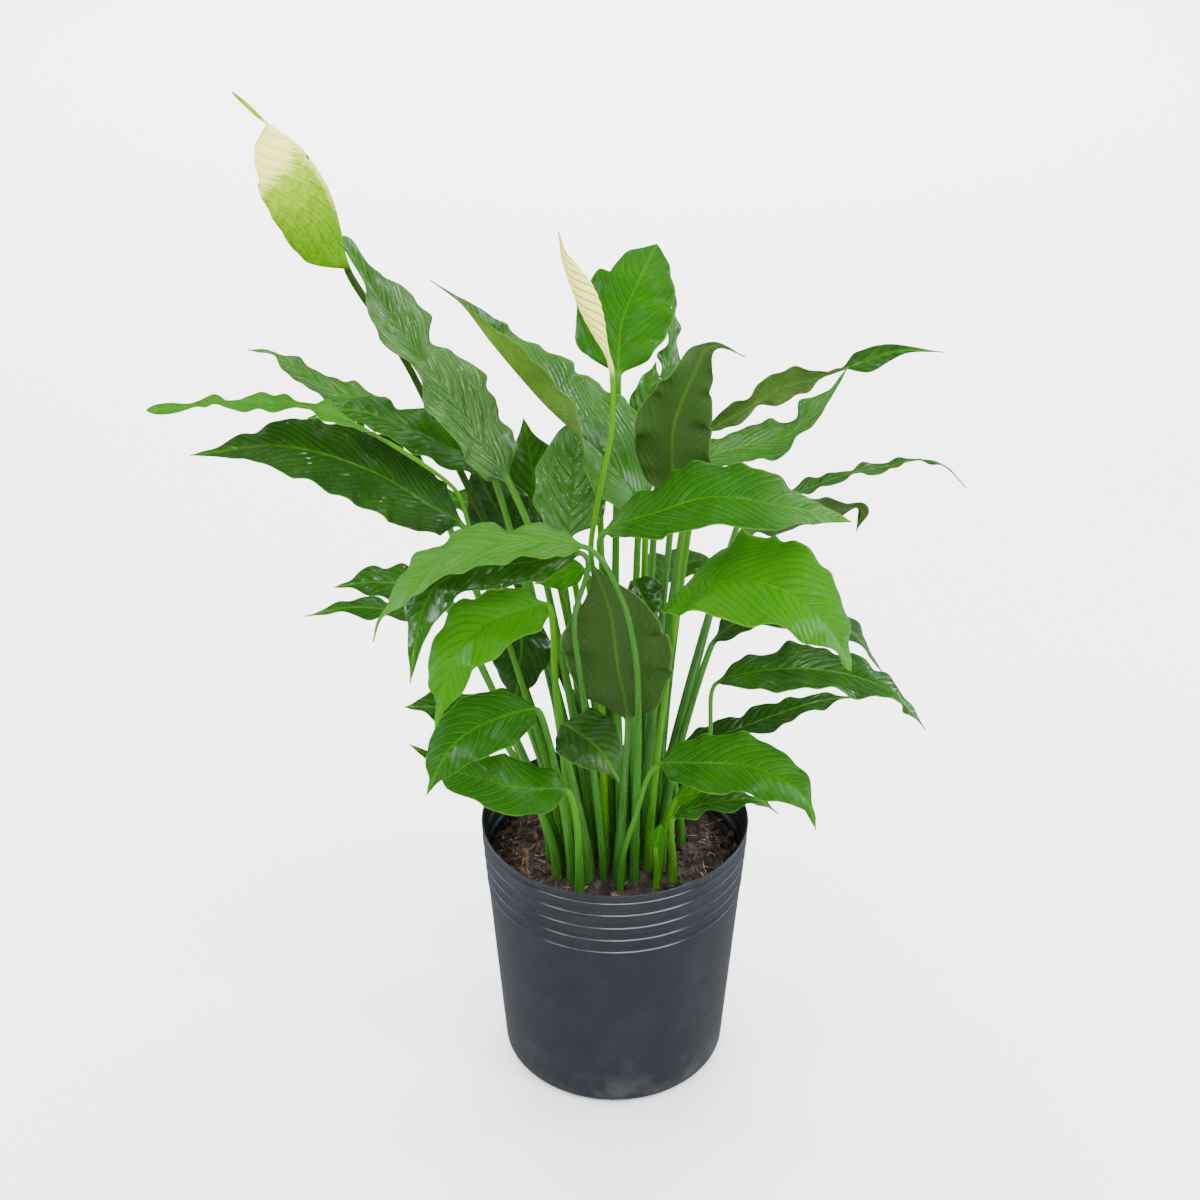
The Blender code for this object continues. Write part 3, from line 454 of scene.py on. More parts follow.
LEAVES = {
    "leaf_left_tall": dict(
        root=(-12, -15), stalk=[(-43, -15, 364)], knee=(-59, -20, 413),
        blade=[(-74, -24, 441), (-88, -28, 468), (-104, -31, 494), (-117, -33, 516), (-130, -35, 541),
               (-140, -35, 562)],
        width=39, facing=(0.35, -0.75, 0.55), fold=30, fold_left=38, ripple=0.08, pinch=(0.56, 0.45),
        peak=(0.35, 0.55), drip=0.6, tint=0.4, milk=1.25, milk_ends=-0.5, crimp=2.8, slant=2.6),
    "leaf_centre_big": dict(
        root=(8, -5), knee=(16, -15, 387),
        blade=[(-3, -18, 423), (-38, -22, 461), (-66, -24, 498), (-82, -22, 520), (-98, -17, 531)],
        width=66, facing=(0.45, -0.7, 0.55), fold_left=45, peak=(0.6, 1.4), tint=0.6, milk=0.6,
        slant=2.0, roll=62),
    "leaf_top": dict(
        root=(-1, 8), knee=(1, 10, 463), blade=[(3, 38, 483), (14, 75, 496), (24, 100, 507)],
        width=54, facing=(-0.1, -0.8, 0.6), peak=(0.6, 0.9), drip=-0.2, tint=0.3),
    "leaf_top_narrow": dict(
        root=(16, 27), knee=(27, 58, 427), blade=[(32, 72, 453), (34, 82, 488)],
        width=22, facing=(0.85, -0.45, 0.2), tint=0.4, milk=0.3),
    "leaf_turned_back": dict(
        root=(17, -9), knee=(31, -30, 408),
        blade=[(30, -40, 455), (39, -50, 490), (49, -52, 509), (66, -55, 504)],
        width=42, facing=(0.2, 0.9, 0.3), peak=(0.65, 1.5), tint=0.0, crimp=3.8, pucker=2.6),
    "leaf_centre_small": dict(
        root=(8, 6), knee=(15, 12, 433), blade=[(18, 14, 453), (22, 16, 470)],
        width=20, facing=(0.2, -0.9, 0.4), tint=0.5, milk=0.5),
    "leaf_upright_dark": dict(
        root=(-7, 20), knee=(-38, 28, 348), blade=[(-47, 36, 386), (-53, 41, 424)],
        width=44, facing=(0.1, -0.9, 0.4), tint=0.45),
    "leaf_upright_glossy": dict(
        root=(-1, -2), knee=(-27, 0, 366), blade=[(-25, 5, 390), (-23, 10, 416), (-15, 20, 445)],
        width=45, facing=(0.2, -0.9, 0.4), tint=0.75, milk=1.0, pucker=4.0),
    "leaf_right_long_twisted": dict(
        root=(17, 8), knee=(48, 30, 416),
        blade=[(68, 35, 429), (94, 42, 442), (114, 45, 447), (134, 50, 452), (161, 50, 462), (186, 45, 463)],
        width=27, facing=(-0.35, 0.8, 0.45), twist=(120, 0.62), peak=(0.8, 1.4), pinch=(0.6, 0.6),
        tint=0.25),
    "leaf_right_short_twisted": dict(
        root=(24, -1), knee=(44, 5, 410),
        blade=[(73, 10, 421), (95, 12, 426), (106, 13, 437), (118, 15, 450), (128, 15, 467)],
        width=32, facing=(-0.3, -0.2, 0.9), pinch=(0.62, 0.35), tint=0.55, milk=0.4, slant=1.8),
    "leaf_right_thin": dict(
        root=(31, 18), knee=(78, 60, 355),
        blade=[(112, 75, 359), (143, 85, 366), (168, 95, 366), (186, 100, 368), (203, 103, 362),
               (218, 105, 346)],
        width=19, facing=(-0.1, 0.15, 1), tint=0.05, milk=0.3),
    "leaf_right_curled": dict(
        root=(27, 9), knee=(69, 10, 361),
        blade=[(101, 20, 369), (130, 25, 374), (142, 24, 374), (140, 20, 361)],
        width=40, facing=(-0.1, 0.75, 0.6), tint=0.2),
    "leaf_right_front_bright": dict(
        root=(4, -22), stalk=[(-2, -36, 348)], knee=(-8, -62, 403),
        blade=[(22, -80, 427), (50, -90, 441), (84, -88, 435), (106, -84, 428), (123, -80, 421)],
        width=46, fold=28, fold_left=8, peak=(0.9, 1.0), tint=0.14, milk_ends=0.9),
    "leaf_right_broad": dict(
        root=(20, -24), knee=(36, -60, 367),
        blade=[(55, -90, 393), (78, -108, 399), (97, -118, 394), (112, -122, 378), (122, -125, 357)],
        width=64, fold=24, fold_left=8, peak=(0.4, 0.76), drip=0.5, base=3.2, top=1.5, tint=0.72,
        milk_ends=0.3),
    "leaf_right_behind_broad": dict(
        root=(27, -10), knee=(56, -10, 302),
        blade=[(69, -12, 318), (100, -15, 330), (132, -20, 321), (156, -20, 289)],
        width=26, facing=(0, -0.3, 0.95), tint=0.1),
    "leaf_right_arching": dict(
        root=(29, -20), stalk=[(55, -26, 245)], knee=(57, -30, 287),
        blade=[(77, -35, 299), (105, -40, 305), (133, -42, 302), (160, -42, 289), (180, -40, 263)],
        width=40, facing=(0, -0.1, 0.97), base=3.0, top=1.3, tint=0.3),
    "leaf_right_low_dark": dict(
        root=(41, 1), knee=(37, -2, 221),
        blade=[(64, 6, 228), (95, 16, 235), (125, 24, 241), (156, 30, 241)],
        width=26, facing=(-0.1, 0, 0.95), tint=0.1),
    "leaf_right_low_bright": dict(
        root=(3, -45), stalk=[(12, -56, 214)], knee=(23, -68, 257),
        blade=[(47, -78, 266), (72, -88, 271), (94, -93, 264), (107, -95, 251), (113, -95, 232)],
        width=38, base=2.4, top=1.4, tint=0.2),
    "leaf_right_low_thin": dict(
        root=(35, -36), knee=(34, -52, 209),
        blade=[(49, -58, 222), (64, -60, 227), (81, -60, 228), (95, -60, 218)],
        width=18, facing=(0, -0.1, 0.98), base=3.4, top=1.6, tint=0.4),
    "leaf_right_low_pale": dict(
        root=(26, -33), knee=(36, -38, 212), blade=[(50, -42, 220), (63, -44, 226)],
        width=20, base=3.4, top=1.6, tint=0.9),
    "leaf_spear": dict(
        root=(25, -43), knee=(24, -49, 184), blade=[(26, -50, 196), (27, -51, 204)],
        width=10, facing=(0, -0.9, 0.4), base=2.2, top=1.3, tint=0.4),
    "leaf_middle_underside": dict(
        root=(3, -33), knee=(7, -45, 272), blade=[(1, -55, 317), (-3, -60, 352), (-12, -60, 383)],
        width=62, facing=(0.1, 0.8, 0.4), peak=(0.8, 1.0), tint=0.0),
    "leaf_middle_small": dict(
        root=(12, -17), knee=(9, -33, 357), blade=[(16, -35, 347), (24, -36, 333)],
        width=26, facing=(0.1, -0.6, 0.8), tint=0.3),
    "leaf_left_front_pale": dict(
        root=(12, -35), stalk=[(13, -50, 263), (11, -67, 327), (3, -79, 373)], knee=(-14, -85, 407),
        blade=[(-45, -95, 417), (-76, -108, 420), (-96, -115, 413), (-113, -119, 399), (-123, -121, 385),
               (-127, -122, 373)],
        # Its stem value is a painted shade: this stalk stands in the shade of the leaves.
        width=32, facing=(-0.05, -0.2, 0.98), base=3.2, top=1.5, tint=0.6, milk=0.6, slant=1.8, stem=-0.3),
    "leaf_left_front_shaded": dict(
        root=(-7, -34), stalk=[(-18, -52, 291), (-23, -70, 355)], knee=(-17, -75, 398),
        blade=[(-46, -82, 398), (-75, -92, 400), (-94, -105, 397), (-102, -113, 384), (-106, -117, 365),
               (-109, -120, 346)],
        # Its stem value is a painted shade: this stalk stands in the shade of the leaves.
        width=32, facing=(-0.1, -0.5, 0.86), base=3.2, top=1.5, tint=0.3, stem=-0.3),
    "leaf_middle_tip": dict(
        root=(-3, -12), knee=(-17, -20, 357), blade=[(-32, -22, 354), (-46, -25, 352)],
        width=18, tint=0.7),
    "leaf_left_small_upper": dict(
        root=(-39, -12), knee=(-95, -45, 358), blade=[(-108, -50, 364), (-132, -56, 371), (-154, -62, 371)],
        width=26, facing=(0, -0.4, 0.9), tint=0.3),
    "leaf_left_small_lower": dict(
        root=(-34, -21), knee=(-93, -66, 361), blade=[(-117, -76, 365), (-143, -82, 370), (-167, -86, 367)],
        width=18, facing=(0, -0.2, 0.97)),
    "leaf_left_drooping": dict(
        root=(-25, -24), stalk=[(-34, -46, 294)], knee=(-37, -70, 364),
        blade=[(-54, -88, 371), (-72, -105, 371), (-85, -115, 360), (-91, -120, 342), (-97, -122, 318)],
        width=38, facing=(-0.2, -0.6, 0.75), tint=0.75),
    "leaf_left_low_small": dict(
        root=(-35, -31), knee=(-74, -60, 288), blade=[(-96, -70, 298), (-117, -80, 305)],
        width=28, facing=(0, -0.4, 0.9), tint=0.3),
    "leaf_left_low_drooping": dict(
        root=(-26, -35), knee=(-43, -81, 303),
        blade=[(-61, -92, 307), (-77, -103, 306), (-90, -110, 298), (-98, -113, 284), (-104, -115, 270)],
        width=38, facing=(-0.1, -0.6, 0.8), tint=-0.1),
    "leaf_left_lowest": dict(
        root=(-21, -45), knee=(-27, -70, 240),
        blade=[(-49, -82, 251), (-70, -92, 263), (-92, -98, 276), (-113, -102, 295)],
        width=34, facing=(0.1, -0.6, 0.8), tint=0.2),
    "leaf_middle_dull": dict(
        root=(-16, -36), knee=(-31, -60, 279), blade=[(-19, -74, 282), (-7, -90, 280), (2, -97, 266)],
        width=36, facing=(0.1, -0.7, 0.7), tint=0.2, finish="leaf_olive"),
    "leaf_left_hanging": dict(
        root=(-17, -6), knee=(-49, -12, 321), blade=[(-55, -16, 298), (-59, -17, 264)],
        width=34, facing=(0, -1, 0.1), fold=5, ripple=0.02, tint=0.1),
    "leaf_left_high_narrow": dict(
        root=(-33, 11), knee=(-125, 30, 432),
        blade=[(-157, 35, 442), (-179, 40, 453), (-193, 42, 463), (-208, 42, 466)],
        width=28, facing=(0, 0, 1), tint=0.45, milk=0.5),
    "leaf_left_far_thin": dict(
        root=(-29, -11), stalk=[(-81, -30, 390), (-88, -35, 417)], knee=(-120, -45, 449),
        blade=[(-151, -52, 471), (-176, -55, 477), (-207, -57, 479), (-225, -58, 477), (-245, -60, 476)],
        width=32, facing=(0, 0.2, 0.97), pinch=(0.82, 0.9), peak=(0.6, 0.7), drip=0.45, twist=(-65, 0.84),
        base=3.0, top=1.2, tint=0.55, milk=0.35),
    "leaf_left_high_broad": dict(
        root=(-20, 3), knee=(-70, -4, 413),
        blade=[(-97, -17, 436), (-120, -24, 452), (-144, -25, 460), (-167, -22, 454)],
        width=36, facing=(0.1, -0.3, 0.9)),
    "leaf_left_long": dict(
        root=(-29, -1), knee=(-85, -15, 382),
        blade=[(-103, -22, 400), (-135, -35, 429), (-178, -45, 448), (-227, -50, 445)],
        width=46, facing=(0.1, -0.6, 0.75), waves=6, tint=0.25, milk=0.1, milk_ends=0, slant=1.8, crimp=3.6),
    "leaf_left_upright_olive": dict(
        root=(-21, 13), knee=(-56, 20, 344), blade=[(-72, 22, 382), (-83, 22, 407)],
        width=40, facing=(0.2, -0.8, 0.5), tint=0.1),
    "leaf_back_left": dict(
        root=(-16, 29), knee=(-37, 46, 364), blade=[(-51, 80, 371), (-67, 116, 360), (-80, 155, 322)],
        width=44, facing=(-0.2, 0.35, 0.9), tint=0.4),
    "leaf_back_middle": dict(
        root=(-4, 31), knee=(-9, 40, 371), blade=[(-9, 85, 374), (-8, 130, 356), (-5, 180, 309)],
        width=48, facing=(0, 0.45, 0.9), tint=0.55),
    "leaf_back_right": dict(
        root=(26, 28), knee=(46, 50, 363), blade=[(55, 88, 365), (63, 128, 344), (71, 165, 300)],
        width=46, facing=(0.2, 0.35, 0.9), tint=0.45),
    "leaf_back_right_low": dict(
        root=(12, 39), knee=(25, 58, 300), blade=[(41, 92, 298), (65, 120, 285), (89, 145, 248)],
        width=42, facing=(0.1, 0.2, 0.97)),
    "leaf_back_low": dict(
        root=(1, 39), knee=(0, 45, 272), blade=[(-1, 85, 268), (-3, 120, 245), (-5, 150, 196)],
        width=48, facing=(0, 0.45, 0.9), tint=0.5),
    "leaf_back_far_left": dict(
        root=(-26, 22), knee=(-56, 35, 342), blade=[(-76, 62, 352), (-107, 90, 347), (-138, 118, 327)],
        width=38, facing=(-0.1, 0.2, 0.97)),
}
TALL_FLOWER = dict(
    root=(-10, 5), stalk=[(-26, 7, 253), (-48, 11, 308), (-83, 8, 394), (-114, 8, 470), (-127, 4, 497)],
    knee=(-143, 0, 529),
    blade=[(-146, 0, 550), (-151, 0, 574), (-164, 0, 597), (-180, 0, 610), (-188, 0, 619), (-196, 0, 626)],
    width=66, facing=(-0.86, -0.26, -0.44), fold=55, curl=-45, ripple=0, base=3.6, top=2.0,
    peak=(0.45, 0.35), tail=0.2, drip=0, tint=0.5, crimp=0.3, pucker=0.6, slant=1.5, veins=13)
FURLED_FLOWER = dict(
    root=(-6, -24), stalk=[(-10, -34, 347), (-14, -49, 388), (-8, -59, 434), (-3, -58, 463)],
    knee=(-3, -54, 496), blade=[(-9, -51, 514), (-17, -49, 536), (-27, -47, 556), (-30, -45, 568)],
    facing=(0, -1, 0), base=3.2, top=1.45)
print("Leaves in the list:", len(LEAVES))

# %% [markdown]
# ## A smooth line and its frame
# A stalk leaves the soil upright and bends away. The line is a chain of smooth pieces, each with the mean
# direction of its neighbours at the joint. A frame is then carried along it: the way across the blade and the
# way its upper side faces, which turn as little as the line lets them.

# %% Follow a middle line
LINE_SAMPLES = 24
BEND_REACH = 90.0
FACING_AT = 0.45


def unit(v):
    """Vectors made one long."""
    return v / np.linalg.norm(v, axis=-1, keepdims=True)


def ease(x):
    """A smooth climb from 0 to 1."""
    x = np.clip(x, 0.0, 1.0)
    return x * x * (3 - 2 * x)


def smooth_line(points):
    """A smooth line through the points, upright at the soil, and the sample number of each point."""
    places = np.asarray(points, float)
    steps = np.diff(places, axis=0)
    lengths = np.linalg.norm(steps, axis=1)
    ways = steps / lengths[:, None]
    upright = np.array([0.0, 0.0, 1.0])
    tangents = [upright, upright] + [unit(a + b) for a, b in zip(ways[1:-1], ways[2:])] + [ways[-1]]
    arriving = [lengths[0], *[min(a, b, BEND_REACH) for a, b in zip(lengths[:-1], lengths[1:])], lengths[-1]]
    leaving = list(arriving)
    leaving[1] = min(lengths[1], BEND_REACH)
    line = [places[0]]
    marks = [0]
    for i in range(len(lengths)):
        for k in range(1, LINE_SAMPLES + 1):
            s = k / LINE_SAMPLES
            blend = 3 * s**2 - 2 * s**3
            line.append((1 - blend) * places[i] + blend * places[i + 1]
                        + (s**3 - 2 * s**2 + s) * leaving[i] * tangents[i]
                        + (s**3 - s**2) * arriving[i + 1] * tangents[i + 1])
        marks.append(len(line) - 1)
    return np.array(line), marks


class MiddleLine:
    """A stalk's and blade's line, with a frame at any length along it."""

    def __init__(self, leaf):
        x, y = leaf["root"]
        points = [(x, y, SOIL_TOP - ROOT_DEPTH), (x, y, COLLAR_TOP), *leaf["stalk"], leaf["knee"],
                  *leaf["blade"]]
        self.line, marks = smooth_line(points)
        self.run = np.concatenate([[0], np.cumsum(np.linalg.norm(np.diff(self.line, axis=0), axis=1))])
        self.knee = self.run[marks[2 + len(leaf["stalk"])]]
        self.end = self.run[-1]
        self.twist, self.twist_at = leaf["twist"]
        known = int(np.searchsorted(self.run, self.knee + FACING_AT * (self.end - self.knee)))
        self.tangents = unit(np.gradient(self.line, axis=0))
        self.normals = self.carried(np.asarray(leaf["facing"], float), known)

    def carried(self, facing, known):
        """The upper side's way along the line, carried up and down from the one place where it is given."""
        normals = np.zeros_like(self.line)
        normals[known] = unit(facing - np.dot(facing, self.tangents[known]) * self.tangents[known])
        after = [(i, i - 1) for i in range(known + 1, len(self.line))]
        before = [(i, i + 1) for i in range(known - 1, -1, -1)]
        for i, neighbour in after + before:
            old = normals[neighbour]
            normals[i] = unit(old - np.dot(old, self.tangents[i]) * self.tangents[i])
        return normals

    def share(self, run):
        """How far along the blade, from 0 at the knee to 1 at the tip."""
        return (run - self.knee) / (self.end - self.knee)

    def frames(self, run):
        """Places, ways across and upper-side normals at these lengths."""
        def read(values):
            return np.stack([np.interp(run, self.run, values[:, k]) for k in range(3)], axis=1)
        places = read(self.line)
        tangents = unit(read(self.tangents))
        normals = read(self.normals)
        normals = unit(normals - (normals * tangents).sum(1, keepdims=True) * tangents)
        sides = np.cross(tangents, normals)
        angle = math.radians(self.twist) * ease((self.share(run) - self.twist_at) / 0.3 + 0.5)[:, None]
        c, s = np.cos(angle), np.sin(angle)
        return places, c * sides - s * normals, c * normals + s * sides


print("The tall flower's line is", round(MiddleLine({**PLAIN_LEAF, **TALL_FLOWER}).end), "mm long")

# %% [markdown]
# ## A blade
# Across the midrib a blade is a shallow V that curls down at its margins. The margin ripples, with a finer
# crimp on top, and between the side veins the blade swells by a fraction of a millimetre, which breaks up the
# highlights on a glossy leaf. Low puckers, read from noise, make each leaf its own. The sheet gets a
# thickness that thins to the margin, a groove along the midrib above and a keel below. Rings of points from
# the root to the tip are joined into one closed skin.

# %% Shape a blade
ACROSS_POINTS = 27
MIDRIB_CROWDING = 0.35
SKIN_THICKNESS = 0.6
TIP_HALF_WIDTH = 0.35
TAIL_HALF_WIDTH = 1.6
NECK_LENGTH = 0.07
DRIP_AT = 0.9
DRIP_LENGTH = 0.09
SWELL_HEIGHT = 0.33
VEIN_BEND = 0.8
ROWS_BEFORE = 50
PUCKER_LENGTH = 17.0
OTHER_SIDE_PHASE = 1.9
PHASE_STEP = 2.4
GROOVE_DEPTH = 0.3
GROOVE_HALF_WIDTH = 0.7
KEEL_HALF_WIDTH = 1.1

# The points crowd towards the midrib, where the groove and the keel need them.
spread = np.linspace(-1, 1, ACROSS_POINTS)
U = spread * (MIDRIB_CROWDING + (1 - MIDRIB_CROWDING) * np.abs(spread))


def half_widths(leaf, t):
    """The blade's half width: round at the base, widest before the middle, drawn out at the tip."""
    rise, fall = leaf["peak"]
    widest = rise / (rise + fall)
    t = np.clip(t, 0, 1)
    body = np.minimum(t / (1 - leaf["tail"]), 1.0)
    shape = (body / widest) ** rise * ((1 - body) / (1 - widest)) ** fall
    where, depth = leaf["pinch"]
    neck = 1 - depth * np.exp(-((t - where) / NECK_LENGTH) ** 2)
    drawn = 1 - leaf["drip"] * np.exp(-((t - DRIP_AT) / DRIP_LENGTH) ** 2)
    body_half = leaf["width"] / 2 * shape * neck * drawn
    past = np.clip((t - 1 + leaf["tail"]) / max(leaf["tail"], 0.01), 0, 1)
    tail_half = TAIL_HALF_WIDTH * np.sin(math.pi * past) ** 0.8 * (leaf["tail"] > 0)
    return np.maximum(body_half, TIP_HALF_WIDTH + tail_half)


def crimps(along, phase, side):
    """An uneven wave along a margin, from three lengths that never fall in step."""
    return (np.sin(along / 3.3 + phase + side) + 0.8 * np.sin(along / 5.2 + 2.1 * phase - side)
            + 0.4 * np.sin(along / 1.9 + 0.6 * phase)) / 1.9


def vein_rows(leaf, along, reach, out, sign, phase):
    """How many side veins lie between a point and the blade's base, unevenly spaced."""
    forward = leaf["slant"] * reach + VEIN_BEND * reach * out
    uneven = 0.22 * np.sin(along / 11 + 1.7 * phase + sign) + 0.10 * np.sin(along / 5.1 + 0.9 * phase - sign)
    return (along - forward) / leaf["veins"] + 0.25 * sign + uneven + ROWS_BEFORE


def puckers(along, reach, sign, phase):
    """Low swellings over the blade, from -1 to 1."""
    place = np.stack([along * 0.7, sign * reach, 40 * phase + 0 * reach], -1) / PUCKER_LENGTH
    return np.array([noise.noise(p) for p in place.reshape(-1, 3)]).reshape(reach.shape)


def there_and_back(upper, lower):
    """A ring's values: over the upper side, then back along the lower side."""
    return np.hstack([upper, lower[:, ::-1]])


def blade_sections(leaf, t, along, phase):
    """The blade's sections, one ring for each t, and which veins its points lie between."""
    u = U[None, :]
    out = np.abs(u)
    sign = np.sign(u)
    t = t[:, None]
    along = along[:, None] + 0 * u
    half = half_widths(leaf, t)
    left_fold = leaf["fold"] if leaf["fold_left"] is None else leaf["fold_left"]
    rolled = leaf["roll"] * ease((t - 0.25) / 0.35)
    fold = np.where(u < 0, left_fold + rolled, leaf["fold"]) * ease(t / 0.1)
    slope = np.radians(fold - leaf["curl"] * out)
    chord = np.radians(fold - leaf["curl"] * out / 2)
    side = np.where(u < 0, OTHER_SIDE_PHASE, 0.0)
    free = ease(t / 0.15) * ease((1 - t) / 0.2)
    reach = half * out * (1 + 0.022 * leaf["crimp"] * crimps(along, phase + 1, side) * out**6)
    row = vein_rows(leaf, along, reach, out, sign, phase)
    turn = 2 * math.pi * leaf["waves"] * t + phase + side
    z = reach * np.sin(chord) + leaf["ripple"] * leaf["width"] * out**1.5 * np.sin(turn) * free
    z = z + leaf["crimp"] * out**2.5 * crimps(along, phase, side) * free * np.minimum(half / 9, 1)
    z = z + leaf["pucker"] * puckers(along, reach, sign, phase) * free * out**0.5 * np.minimum(half / 12, 1)
    height = SWELL_HEIGHT * (0.65 + 0.35 * np.sin(1.3 * row + phase)) * np.minimum(half / 12, 1) * free
    z = z + height * np.cos(2 * math.pi * row) * np.sin(math.pi * np.clip(out, 0, 1) ** 0.6)
    x = sign * reach * np.cos(chord)
    upper = z - GROOVE_DEPTH * ease((1 - t) / 0.3) * np.exp(-(reach / GROOVE_HALF_WIDTH) ** 2)
    thick = SKIN_THICKNESS * (1 - 0.5 * out**2)
    keel = 0.5 * leaf["top"] * (1 - t) * np.exp(-(reach / KEEL_HALF_WIDTH) ** 2)
    lower_x = x + sign * thick * np.sin(slope)
    lower_z = z - thick * np.cos(slope) - keel
    return np.array([there_and_back(x, lower_x), there_and_back(upper, lower_z)]), (row, reach, out + 0 * row)


print("A blade has", ACROSS_POINTS, "points across each side")

# %% [markdown]
# ## A stalk
# A stalk is round with a shallow channel above. Near the soil the channel opens, and its two lips are the
# sheath that wraps the next stalk. Fine ribs run all the way up, and it swells a little just under the blade.

# %% Shape a stalk
STALK_STEP = 4.0
BLADE_STEP = 1.2
KNEE_SWELL = 0.10
KNEE_LENGTH = 22.0
CHANNEL = 0.14
CHANNEL_WIDTH = 0.38
SHEATH_CHANNEL = 0.34
SHEATH_WIDENS = 0.28
RIB_DEPTH = 0.035
RIB_COUNT = 11
BOX_MARGIN = 0.05
SHARP_DEGREES = 40


def stalk_sections(leaf, middle, run):
    """The stalk's sections, one ring for each length."""
    grown = np.clip(run / middle.knee, 0, 1)
    radius = leaf["top"] + (leaf["base"] - leaf["top"]) * (1 - grown) ** 1.6
    past_swell = (run - middle.knee + KNEE_LENGTH / 2) / KNEE_LENGTH * 2
    radius = radius * (1 + KNEE_SWELL * np.exp(-past_swell**2))
    angle = (math.pi * (np.arange(ACROSS_POINTS) + 0.5) / ACROSS_POINTS)[None, :]
    sheath = ease((0.55 - grown) / 0.4)[:, None]
    r = radius[:, None] * (1 + RIB_DEPTH * (0.4 + sheath) * np.cos(RIB_COUNT * angle))
    x = -r * np.cos(angle) * (1 + SHEATH_WIDENS * sheath)
    z = r * np.sin(angle)
    channel = 1 - (CHANNEL + SHEATH_CHANNEL * sheath) * np.exp(-(np.cos(angle) / CHANNEL_WIDTH) ** 2)
    return np.array([there_and_back(x, x), there_and_back(z * channel, -z)])


def ring_faces(rings, count):
    """Quads between rings and a cap on each end, all facing out."""
    quads = []
    for i in range(rings - 1):
        row = i * count
        quads += [(row + k, row + (k + 1) % count, row + count + (k + 1) % count, row + count + k)
                  for k in range(count)]
    last = (rings - 1) * count
    return quads + [tuple(range(count - 1, -1, -1)), tuple(range(last, last + count))]


def closed_skin(name, points, faces, sharp=None):
    """A closed mesh from points in millimetres, smooth but for edges sharper than an angle."""
    mesh = bpy.data.meshes.new(name)
    mesh.from_pydata((np.asarray(points) * MM).tolist(), [], faces)
    mesh.shade_smooth()
    if sharp is not None:
        mesh.set_sharp_from_angle(angle=math.radians(sharp))
    return put_in_scene(name, mesh)


def vectors(mesh, name, *values):
    """Keep three values at each point. Values that are even along a ring or a leaf are spread over it."""
    attribute = mesh.attributes.new(name, "FLOAT_VECTOR", "POINT")
    attribute.data.foreach_set("vector", np.stack(np.broadcast_arrays(*values), -1).reshape(-1))


def grow(name, leaf, phase):
    """One closed skin for a stalk and its blade, with the attributes that the finish reads."""
    middle = MiddleLine(leaf)
    stalk_run = np.linspace(0, middle.knee, max(int(middle.knee / STALK_STEP), 8))
    blade_run = np.linspace(middle.knee, middle.end, max(int((middle.end - middle.knee) / BLADE_STEP), 24))
    run = np.concatenate([stalk_run, blade_run[1:]])
    t = middle.share(run)
    places, sides, normals = middle.frames(run)
    blade, rows = blade_sections(leaf, t, run - middle.knee, phase)
    share = ease(t / 0.1)[:, None]
    x, z = (1 - share) * stalk_sections(leaf, middle, run) + share * blade
    points = places[:, None] + x[..., None] * sides[:, None] + z[..., None] * normals[:, None]
    points = np.clip(points, np.array(CAD_LOW) / MM + BOX_MARGIN, np.array(CAD_HIGH) / MM - BOX_MARGIN)
    obj = closed_skin(name, points.reshape(-1, 3), ring_faces(len(run), 2 * ACROSS_POINTS))
    stalky = (1 - ease(t / 0.06))[:, None]
    # A leaf's stem value sets its stalk's tint; for two stalks it is a painted shade.
    stem_tint_and_shade = leaf["tint"] if leaf["stem"] is None else leaf["stem"]
    # The painted sheen is raised or lowered at the blade's two ends.
    ends = np.maximum(ease((t - 0.6) / 0.3), 0.7 * ease((0.22 - t) / 0.2))[:, None]
    vectors(obj.data, "leaf_place", there_and_back(U[None, :], U[None, :]), (run - middle.knee)[:, None],
            leaf["milk"] + leaf["milk_ends"] * ends)
    vectors(obj.data, "leaf_kind", np.repeat([[0.0, 1.0]], ACROSS_POINTS, axis=1), stalky,
            leaf["tint"] + stalky * (stem_tint_and_shade - leaf["tint"]))
    vectors(obj.data, "leaf_row", *[there_and_back(values, values) for values in rows])
    return obj


print("A stalk has a ring every", STALK_STEP, "mm, and a blade every", BLADE_STEP, "mm")

# %% [markdown]
# ## Grow the leaves
# The same function grows all of them. Each replaces the solid of its own name and rides on the one body.

# %% Grow every leaf
LEAF_SLOT = {row["node"]: row["material_slot"] for row in frame["record"]["subparts"]}


def stand_in(piece, node, finish):
    """Give a piece its finish, and let it ride on the one body in place of a solid."""
    piece.data.materials.clear()
    piece.data.materials.append(finish)
    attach(piece, "root")
    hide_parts(node)


grown = 0
for index, (name, own) in enumerate(LEAVES.items()):
    leaf = {**PLAIN_LEAF, **own}
    piece = grow(name + "_skin", leaf, PHASE_STEP * index)
    stand_in(piece, name, LEAF_FINISH[leaf.get("finish", LEAF_SLOT[name])])
    grown += len(piece.data.polygons)
print("Leaves grown:", len(LEAVES), "with", grown, "faces")

# %% [markdown]
# ## The tall flower
# A spathe is a leaf that guards the flower. This one is folded along its midrib and open to the left. It is
# cream at the tip and turns green towards the stalk, in blotches that follow its slanting veins. Each pleat
# between two veins has painted shade at its lower edge, and a pale line runs along the fold.

# %% The finish of the tall spathe
CREAM = colour(0.88, 0.84, 0.20)
CREAM_GREEN = colour(0.38, 0.58, 0.008)
YELLOW_GREEN = colour(0.200, 0.370, 0.0006)
SPATHE_BASE = colour(0.100, 0.255, 0.0005)
PEDUNCLE = colour(0.019, 0.046, 0.007)
TAIL_GREEN = colour(0.060, 0.150, 0.010)
SPOT_BROWN = colour(0.050, 0.018, 0.006)
PLEAT_SHADE = colour(0.55, 0.66, 0.45)
MOTTLE_SHADE = colour(0.58, 0.70, 0.40)
VEIN_SHADE = colour(0.30, 0.42, 0.20)
BROWN_SPOT_AT = 66.0


